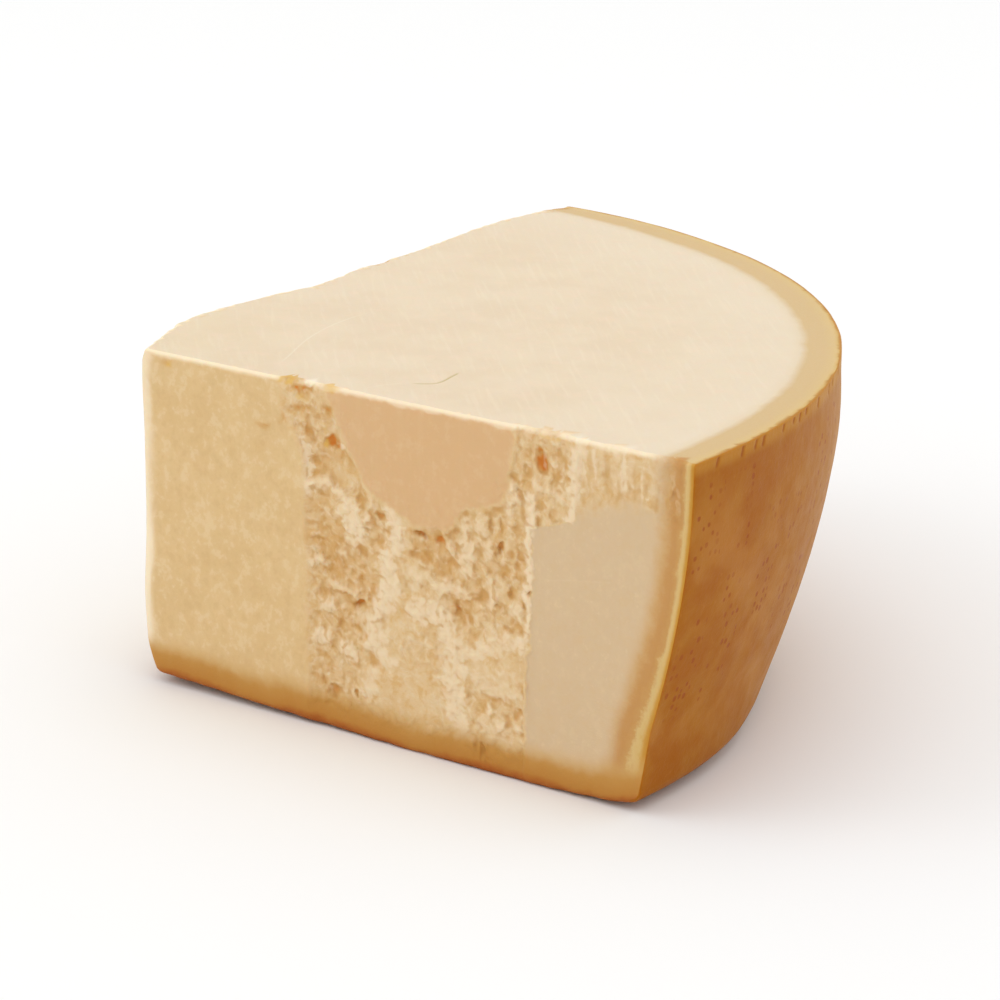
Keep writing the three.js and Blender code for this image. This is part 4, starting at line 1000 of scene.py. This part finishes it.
mesh.polygons.foreach_set("material_index", np.zeros(nf, np.int32))
mesh.polygons.foreach_set("use_smooth", np.ones(nf, bool))
mesh.update()
block = bpy.data.objects.new("cheese_block", mesh)
bpy.context.scene.collection.objects.link(block)


# ------------------------------------------------------------------ material
def lin(r, g, b, k=0.94):
    def f(c):
        c = c / 255.0
        return c / 12.92 if c <= 0.04045 else ((c + 0.055) / 1.055) ** 2.4

    return (min(f(r) * k, 1.0), min(f(g) * k, 1.0), min(f(b) * k, 1.0), 1.0)


class Nodes:
    def __init__(self, tree):
        self.t = tree
        self.x = 0

    def add(self, kind, **props):
        n = self.t.nodes.new(kind)
        n.location = (self.x, 0)
        self.x += 40
        for k, val in props.items():
            setattr(n, k, val)
        return n

    def put(self, socket, val):
        if hasattr(val, "is_output") or isinstance(val, bpy.types.NodeSocket):
            self.t.links.new(val, socket)
        else:
            socket.default_value = val

    def math(self, op, a, b=0.0, c=0.0, clamp=False):
        n = self.add("ShaderNodeMath", operation=op, use_clamp=clamp)
        for s, val in zip(n.inputs, (a, b, c)):
            self.put(s, val)
        return n.outputs[0]

    def vmath(self, op, a, b=(0, 0, 0)):
        n = self.add("ShaderNodeVectorMath", operation=op)
        self.put(n.inputs[0], a)
        self.put(n.inputs[1], b)
        return n.outputs["Value"] if op in ("LENGTH", "DOT_PRODUCT", "DISTANCE") else n.outputs[0]

    def ramp(self, v, lo, hi, a=0.0, b=1.0):
        n = self.add("ShaderNodeMapRange", interpolation_type="SMOOTHSTEP")
        for s, val in zip(("Value", "From Min", "From Max", "To Min", "To Max"), (v, lo, hi, a, b)):
            self.put(n.inputs[s], val)
        return n.outputs[0]

    def line(self, v, lo, hi, a, b):
        n = self.add("ShaderNodeMapRange")
        for s, val in zip(("Value", "From Min", "From Max", "To Min", "To Max"), (v, lo, hi, a, b)):
            self.put(n.inputs[s], val)
        return n.outputs[0]

    def noise(self, vec, scale, detail=2.0, rough=0.5, warp=0.0):
        n = self.add("ShaderNodeTexNoise", noise_dimensions="3D")
        self.put(n.inputs["Vector"], vec)
        self.put(n.inputs["Scale"], scale)
        self.put(n.inputs["Detail"], detail)
        self.put(n.inputs["Roughness"], rough)
        self.put(n.inputs["Distortion"], warp)
        return n.outputs["Fac"]

    def colour(self, f, stops):
        n = self.add("ShaderNodeValToRGB")
        e = n.color_ramp.elements
        e[0].position, e[0].color = stops[0]
        e[1].position, e[1].color = stops[-1]
        for p, c in stops[1:-1]:
            el = e.new(p)
            el.color = c
        self.put(n.inputs[0], f)
        return n.outputs[0]

    def mixc(self, f, a, b, mode="MIX"):
        n = self.add("ShaderNodeMix", data_type="RGBA", blend_type=mode)
        self.put(n.inputs[0], f)
        self.put(n.inputs[6], a)
        self.put(n.inputs[7], b)
        return n.outputs[2]

    def attr(self, name):
        n = self.add("ShaderNodeAttribute", attribute_name=name)
        return n.outputs["Fac"]


def cheese_material():
    mat = bpy.data.materials.new("aged_cheese")
    mat.use_nodes = True
    t = mat.node_tree
    t.nodes.clear()
    N = Nodes(t)
    out = N.add("ShaderNodeOutputMaterial")
    sh = N.add("ShaderNodeBsdfPrincipled")
    t.links.new(sh.outputs[0], out.inputs[0])
    pos = N.add("ShaderNodeTexCoord").outputs["Object"]
    mm = N.vmath("MULTIPLY", pos, (1000.0, 1000.0, 1000.0))
    sep = N.add("ShaderNodeSeparateXYZ")
    N.put(sep.inputs[0], mm)
    px, py, pz = sep.outputs
    rd, rb = N.attr("rd"), N.attr("rb")
    cav, dark, pale = N.attr("cav"), N.attr("dark"), N.attr("pale")
    split, tone, rim, marks, top, skin_a = N.attr("split"), N.attr("tone"), N.attr("rim"), N.attr("mark"), N.attr("top"), N.attr("skin")

    blotch = N.noise(mm, 0.055, 3.0, 0.55)
    patchy = N.noise(mm, 0.16, 3.0, 0.6)
    speck = N.noise(mm, 0.55, 2.0, 0.6)
    grain = N.noise(mm, 1.7, 2.0, 0.6)
    # upright knife streaks on the cuts
    streak = N.noise(N.vmath("MULTIPLY", mm, (1.0, 1.0, 0.12)), 0.4, 2.0, 0.5)
    cloud = N.noise(mm, 0.30, 4.0, 0.65)
    mottle = N.noise(mm, 0.24, 4.0, 0.72, 0.6)

    # paste on the upright cuts
    col = N.mixc(N.ramp(blotch, 0.35, 0.7), lin(228, 195, 143), lin(224, 190, 137))
    col = N.mixc(N.ramp(tone, 0.0, 1.0), col, lin(223, 182, 134))
    col = N.mixc(N.ramp(tone, 0.0, -1.0), col, lin(219, 191, 153))
    col = N.mixc(N.math("MULTIPLY", N.ramp(streak, 0.5, 0.75), 0.07), col, lin(238, 212, 166))
    cloudy = N.ramp(N.math("ABSOLUTE", tone), 0.0, 1.0, 0.5, 0.16)
    col = N.mixc(N.math("MULTIPLY", N.ramp(cloud, 0.51, 0.66), cloudy), col, lin(236, 210, 166))
    col = N.mixc(N.math("MULTIPLY", N.ramp(cloud, 0.49, 0.34), cloudy), col, lin(218, 182, 130))
    col = N.mixc(N.math("MULTIPLY", N.ramp(speck, 0.60, 0.80), N.line(tone, 0.0, 1.0, 0.22, 0.06)), col, lin(240, 216, 174))
    # split paste: paler on crests as painted highlight, deeper orange in hollows and pits as painted shade
    fresh = N.mixc(N.ramp(patchy, 0.3, 0.7), lin(231, 200, 153), lin(226, 191, 140))
    fresh = N.mixc(N.math("MULTIPLY", N.ramp(mottle, 0.50, 0.66), 0.62), fresh, lin(234, 210, 171))
    fresh = N.mixc(N.math("MULTIPLY", N.ramp(mottle, 0.50, 0.34), 0.62), fresh, lin(220, 174, 108))
    col = N.mixc(split, col, fresh)
    # painted shade: paste lying deeper than its surroundings is coloured darker orange
    painted_hollow_shade = N.math("MULTIPLY", N.ramp(cav, 0.02, 0.60), N.math("ADD", N.math("MULTIPLY", split, 0.8), 0.2))
    col = N.mixc(N.math("MULTIPLY", painted_hollow_shade, 0.52), col, lin(210, 160, 88))
    # painted shade: the dark share colours pits and deep paste tan and then saturated orange, partly the paste's own
    # orange
    col = N.mixc(N.math("MULTIPLY", N.ramp(dark, 0.0, 0.8), 0.72), col, lin(210, 156, 86))
    col = N.mixc(N.math("MULTIPLY", N.ramp(dark, 0.6, 1.15), 0.9), col, lin(208, 124, 46, 1.0))
    # painted highlight: paste standing prouder than its surroundings is coloured pale cream
    painted_crest_highlight = N.math("MULTIPLY", N.ramp(cav, -0.04, -0.6), N.math("ADD", N.math("MULTIPLY", split, 0.85), 0.15))
    col = N.mixc(N.math("MULTIPLY", painted_crest_highlight, 0.38), col, lin(244, 220, 182))
    # painted highlight: the pale share colours crests, ridges and crumbs pale cream, partly paler paste
    col = N.mixc(N.math("MULTIPLY", N.ramp(pale, 0.05, 0.95), 0.70), col, lin(245, 224, 190))
    gold = N.attr("gold")
    col = N.mixc(N.math("MULTIPLY", N.ramp(gold, 0.0, 1.0), 0.85), col, lin(228, 186, 98))
    # painted shade: a negative gold share colours flutes and hollows olive-brown, partly the paste's own olive tint
    col = N.mixc(N.math("MULTIPLY", N.ramp(gold, 0.0, -1.0), 0.8), col, lin(204, 156, 92))
    col = N.mixc(N.math("MULTIPLY", N.ramp(rim, 0.0, 1.0), 0.85), col, lin(251, 236, 207, 1.0))
    col = N.mixc(N.math("MULTIPLY", N.ramp(rim, 0.0, -1.0), 0.8), col, lin(236, 203, 150))

    # towards the rind on the upright cuts
    wob = N.math("MULTIPLY", N.math("SUBTRACT", N.noise(mm, 0.09, 2.0, 0.5), 0.5), 3.0)
    wob2 = N.math("MULTIPLY", N.math("SUBTRACT", N.noise(mm, 0.35, 2.0, 0.5), 0.5), 1.1)
    rdw = N.math("ADD", rd, wob)
    rbw = N.math("ADD", rb, N.math("MULTIPLY", N.math("SUBTRACT", N.noise(mm, 0.07, 3.0, 0.6), 0.5), 5.0))
    wob3 = N.math("MULTIPLY", N.math("SUBTRACT", N.noise(mm, 0.22, 4.0, 0.7), 0.5), N.ramp(rd, 1.5, 5.0, 0.6, 5.5))
    low_down = N.ramp(pz, 66.0, 12.0, 1.0, 0.58)
    side_f = N.line(N.math("ADD", N.math("MULTIPLY", rd, low_down), wob3), 0.0, 24.0, 0.0, 1.0)
    side_c = N.colour(side_f, [
        (0.0, lin(192, 134, 46)), (0.04, lin(203, 152, 68)), (0.07, lin(217, 182, 116)), (0.105, lin(219, 187, 126)),
        (0.145, lin(205, 158, 96)), (0.2, lin(201, 150, 90)), (0.26, lin(203, 153, 94)), (0.33, lin(209, 165, 109)), (0.41, lin(215, 178, 130)), (0.52, lin(219, 190, 151)),
    ])
    side_m = N.math("MULTIPLY", N.ramp(rdw, 15.5, 9.0), N.ramp(gold, -0.7, -0.1, 0.35, 1.0))
    col = N.mixc(side_m, col, side_c)
    low_f = N.line(rbw, 0.0, 16.0, 0.0, 1.0)
    low_c = N.colour(low_f, [
        (0.0, lin(164, 88, 34)), (0.07, lin(180, 108, 46)), (0.16, lin(192, 134, 62)), (0.40, lin(199, 147, 76)),
        (0.60, lin(211, 169, 106)), (1.0, lin(224, 187, 134)),
    ])
    low_m = N.ramp(rbw, 13.0, 5.5)
    col = N.mixc(low_m, col, low_c)

    # top cut, with fine saw lines across it
    saw = N.add("ShaderNodeCombineXYZ")
    N.put(saw.inputs[0], N.math("MULTIPLY", N.math("ADD", px, py), 0.45))
    N.put(saw.inputs[1], N.math("MULTIPLY", N.math("SUBTRACT", px, py), 0.03))
    lines = N.noise(saw.outputs[0], 1.0, 2.0, 0.55)
    tcol = N.mixc(N.ramp(blotch, 0.35, 0.68), lin(234, 215, 186), lin(231, 210, 180))
    tcol = N.mixc(N.ramp(rd, 130.0, 215.0, 0.0, 0.55), tcol, lin(231, 210, 173))
    tcol = N.mixc(N.ramp(rd, 70.0, 10.0, 0.0, 0.6), tcol, lin(236, 220, 194))
    tcol = N.mixc(N.math("MULTIPLY", N.ramp(patchy, 0.50, 0.72), 0.35), tcol, lin(240, 213, 186))
    tcol = N.mixc(N.math("MULTIPLY", N.ramp(speck, 0.66, 0.8), 0.20), tcol, lin(244, 230, 206))
    tcol = N.mixc(N.math("MULTIPLY", N.ramp(lines, 0.50, 0.74), 0.22), tcol, lin(244, 229, 203))
    tcol = N.mixc(N.ramp(pale, 0.05, 0.9), tcol, lin(248, 237, 215))
    tcol = N.mixc(N.ramp(pale, -0.05, -0.6), tcol, lin(206, 184, 134))
    ring_f = N.line(N.math("ADD", rd, N.math("MULTIPLY", wob, 0.35)), 0.0, 16.0, 0.0, 1.0)
    ring_c = N.colour(ring_f, [
        (0.0, lin(202, 154, 80)), (0.05, lin(217, 182, 114)), (0.11, lin(220, 190, 134)), (0.3, lin(217, 186, 136)),
        (0.58, lin(217, 186, 137)), (0.74, lin(231, 212, 181)), (1.0, lin(234, 216, 188)),
    ])
    tcol = N.mixc(N.ramp(rd, 16.0, 10.5), tcol, ring_c)
    col = N.mixc(N.ramp(top, 0.55, 0.95), col, tcol)

    # rind skin
    ex, ey = N.math("ADD", px, SHIFT[0] - AX), N.math("ADD", py, SHIFT[1] - AY)
    s_ = N.math("MULTIPLY", N.math("ARCTAN2", ey, ex), R0)
    skin = N.mixc(N.ramp(blotch, 0.35, 0.7), lin(166, 95, 4), lin(172, 107, 16))
    skin = N.mixc(N.math("MULTIPLY", N.ramp(patchy, 0.4, 0.75), 0.4), skin, lin(162, 90, 4))
    # painted sheen: the rind is coloured lighter further round the drum from the front cut
    skin = N.mixc(N.ramp(s_, 15.0, 150.0, 0.0, 0.8), skin, lin(188, 129, 40))
    worn = N.math("MULTIPLY", N.ramp(N.noise(mm, 0.028, 3.0, 0.6, 0.4), 0.46, 0.66), N.math("MULTIPLY", N.ramp(pz, 8.0, 26.0), N.ramp(pz, 96.0, 70.0)))
    skin = N.mixc(N.math("MULTIPLY", worn, 0.42), skin, lin(198, 138, 64))
    skin = N.mixc(N.math("MULTIPLY", N.math("MULTIPLY", N.ramp(pz, 93.5, 97.0), N.ramp(pz, 100.0, 98.2)), 0.45), skin, lin(206, 150, 58))
    skin = N.mixc(N.math("MULTIPLY", N.ramp(speck, 0.55, 0.8), 0.18), skin, lin(198, 134, 52))
    # loose rows of pin pricks round the rind, here and there worn away
    strip = N.math("FLOOR", N.math("DIVIDE", s_, 19.0))
    in_strip = N.math("SUBTRACT", s_, N.math("MULTIPLY", strip, 19.0))
    cell = N.add("ShaderNodeCombineXYZ")
    U = N.math("DIVIDE", s_, 2.375)
    V = N.math("DIVIDE", N.math("ADD", pz, N.math("MULTIPLY", strip, 1.7)), 2.7)
    fu, fv = N.math("FLOOR", U), N.math("FLOOR", V)
    N.put(cell.inputs[0], fu)
    N.put(cell.inputs[1], fv)
    rnd = N.add("ShaderNodeTexWhiteNoise", noise_dimensions="2D")
    N.put(rnd.inputs["Vector"], cell.outputs[0])
    rs = N.add("ShaderNodeSeparateColor")
    N.put(rs.inputs[0], rnd.outputs["Color"])
    r1, r2, r3 = rs.outputs
    ou = N.math("MULTIPLY", N.math("SUBTRACT", N.math("SUBTRACT", N.math("SUBTRACT", U, fu), 0.5), N.math("MULTIPLY", N.math("SUBTRACT", r1, 0.5), 0.55)), 2.375)
    ov = N.math("MULTIPLY", N.math("SUBTRACT", N.math("SUBTRACT", N.math("SUBTRACT", V, fv), 0.5), N.math("MULTIPLY", N.math("SUBTRACT", r2, 0.5), 0.6)), 2.7)
    off = N.math("SQRT", N.math("ADD", N.math("MULTIPLY", ou, ou), N.math("MULTIPLY", ov, ov)))
    size = N.line(r3, 0.0, 1.0, 0.48, 0.84)
    dot = N.ramp(N.math("SUBTRACT", off, size), 0.28, -0.18)
    dot = N.math("MULTIPLY", dot, N.math("LESS_THAN", rnd.outputs["Value"], 0.32))
    blk = N.add("ShaderNodeCombineXYZ")
    N.put(blk.inputs[0], strip)
    N.put(blk.inputs[1], N.math("FLOOR", N.math("DIVIDE", V, 5.0)))
    rb_ = N.add("ShaderNodeTexWhiteNoise", noise_dimensions="2D")
    N.put(rb_.inputs["Vector"], blk.outputs[0])
    dot = N.math("MULTIPLY", dot, N.math("LESS_THAN", rb_.outputs["Value"], 0.85))
    dot = N.math("MULTIPLY", dot, N.math("LESS_THAN", in_strip, 12.5))
    dot = N.math("MULTIPLY", dot, N.math("MULTIPLY", N.ramp(pz, 22.0, 30.0), N.ramp(pz, 93.0, 90.0)))
    dot = N.math("MULTIPLY", dot, N.ramp(N.noise(mm, 0.045, 2.0, 0.5), 0.33, 0.56))
    dot = N.math("MULTIPLY", dot, skin_a)
    skin = N.mixc(N.math("MULTIPLY", N.math("MAXIMUM", N.math("MULTIPLY", dot, 0.85), marks), 0.85), skin, lin(150, 62, 4))
    edge = N.math("MINIMUM", rd, rb)
    skin_m = N.ramp(edge, 0.45, 0.12)
    skin_m = N.math("MULTIPLY", skin_m, N.math("SUBTRACT", 1.0, N.math("MULTIPLY", N.ramp(top, 0.5, 1.0), 0.6)))
    skin_m = N.math("MAXIMUM", skin_m, N.ramp(skin_a, 0.6, 1.0))
    col = N.mixc(skin_m, col, skin)

    t.links.new(col, sh.inputs["Base Color"])
    rough = N.line(grain, 0.3, 0.7, 0.52, 0.66)
    rough_skin = N.line(patchy, 0.3, 0.7, 0.42, 0.54)
    r = N.add("ShaderNodeMix", data_type="FLOAT")
    N.put(r.inputs[0], skin_m)
    N.put(r.inputs[2], rough)
    N.put(r.inputs[3], rough_skin)
    t.links.new(r.outputs[0], sh.inputs["Roughness"])
    sh.inputs["IOR"].default_value = 1.44
    sh.inputs["Specular IOR Level"].default_value = 0.12
    sh.inputs["Subsurface Weight"].default_value = 0.25
    sh.inputs["Subsurface Radius"].default_value = (1.0, 0.55, 0.25)
    sh.inputs["Subsurface Scale"].default_value = 0.003

    fine = N.noise(mm, 1.3, 3.0, 0.65)
    h = N.math("MULTIPLY", N.math("SUBTRACT", fine, 0.5), N.line(split, 0.0, 1.0, 0.09, 0.20))
    h2 = N.math("MULTIPLY", N.math("SUBTRACT", N.noise(mm, 0.5, 2.0, 0.5), 0.5), 0.10)
    h3 = N.math("MULTIPLY", dot, -0.03)
    b = N.add("ShaderNodeBump")
    b.inputs["Strength"].default_value = 1.0
    b.inputs["Distance"].default_value = 0.001
    N.put(b.inputs["Height"], N.math("ADD", N.math("ADD", h, h2), h3))
    t.links.new(b.outputs[0], sh.inputs["Normal"])
    return mat


mesh.materials.clear()
mesh.materials.append(cheese_material())
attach(block, "root")
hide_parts("cheese_chunk")


# ------------------------------------------------------------------ floor, light, camera
def plain(name, rgb, rough):
    m = bpy.data.materials.new(name)
    m.use_nodes = True
    s_ = m.node_tree.nodes["Principled BSDF"]
    s_.inputs["Base Color"].default_value = (*rgb, 1)
    s_.inputs["Roughness"].default_value = rough
    s_.inputs["Specular IOR Level"].default_value = 0.2
    return m


fm = bpy.data.meshes.new("floor")
S = 6.0
fm.from_pydata([(-S, -S, 0), (S, -S, 0), (S, S, 0), (-S, S, 0)], [], [(0, 1, 2, 3)])
floor = bpy.data.objects.new("floor", fm)
fm.materials.append(plain("floor", (0.93, 0.93, 0.925), 0.9))
bpy.context.scene.collection.objects.link(floor)

world = bpy.data.worlds.new("studio")
bpy.context.scene.world = world
world.use_nodes = True
bg = world.node_tree.nodes["Background"]
bg.inputs[0].default_value = (1.0, 1.0, 1.0, 1)
bg.inputs[1].default_value = 0.95


def area(name, where, at, size, watts, rgb=(1, 1, 1)):
    d = bpy.data.lights.new(name, "AREA")
    d.shape = "DISK"
    d.size = size
    d.energy = watts
    d.color = rgb
    o = bpy.data.objects.new(name, d)
    o.location = where
    o.rotation_euler = (Vector(at) - Vector(where)).to_track_quat("-Z", "Y").to_euler()
    bpy.context.scene.collection.objects.link(o)
    return o


area("key", (-1.6, -1.6, 2.0), (0, 0, 0.04), 1.6, 5.5)
area("over", (0.0, 0.2, 2.6), (0, 0, 0.04), 2.2, 9)

AZ, EL, DIST, FOCAL, UA, VA, ROLL, PX, PY = 38.5315, 16.5025, 1139.66, 4026.58, -19.10, 2.15, 0.077, 480.0, 501.17
az, el = math.radians(AZ), math.radians(EL)
back = np.array([math.sin(az) * math.cos(el), -math.cos(az) * math.cos(el), math.sin(el)])
fwd = -back
right = np.cross(fwd, [0, 0, 1])
right /= np.linalg.norm(right)
up = np.cross(right, fwd)
eye = np.array([110.0, 70.0, 50.0]) + right * UA + up * VA + back * DIST
ro = math.radians(ROLL)
right, up = right * math.cos(ro) + up * math.sin(ro), -right * math.sin(ro) + up * math.cos(ro)
look = fwd + right * (500 - PX) / FOCAL - up * (500 - PY) / FOCAL
look /= np.linalg.norm(look)
right = right - look * (right @ look)
right /= np.linalg.norm(right)
up = np.cross(right, look)
cam = bpy.data.cameras.new("camera")
cam.sensor_width = 36.0
cam.lens = FOCAL / 1000.0 * 36.0
cam.clip_start = 0.05
cam.clip_end = 30.0
camera = bpy.data.objects.new("camera", cam)
m = Matrix([[right[i], up[i], -look[i], 0] for i in range(3)] + [[0, 0, 0, 1]])
m.translation = Vector((eye - np.array([SHIFT[0], SHIFT[1], -LIFT])) * 0.001)
camera.matrix_world = m
bpy.context.scene.collection.objects.link(camera)
bpy.context.scene.camera = camera
bpy.context.scene.view_settings.view_transform = "Standard"
bpy.context.scene.view_settings.look = "None"

bpy.context.view_layer.update()
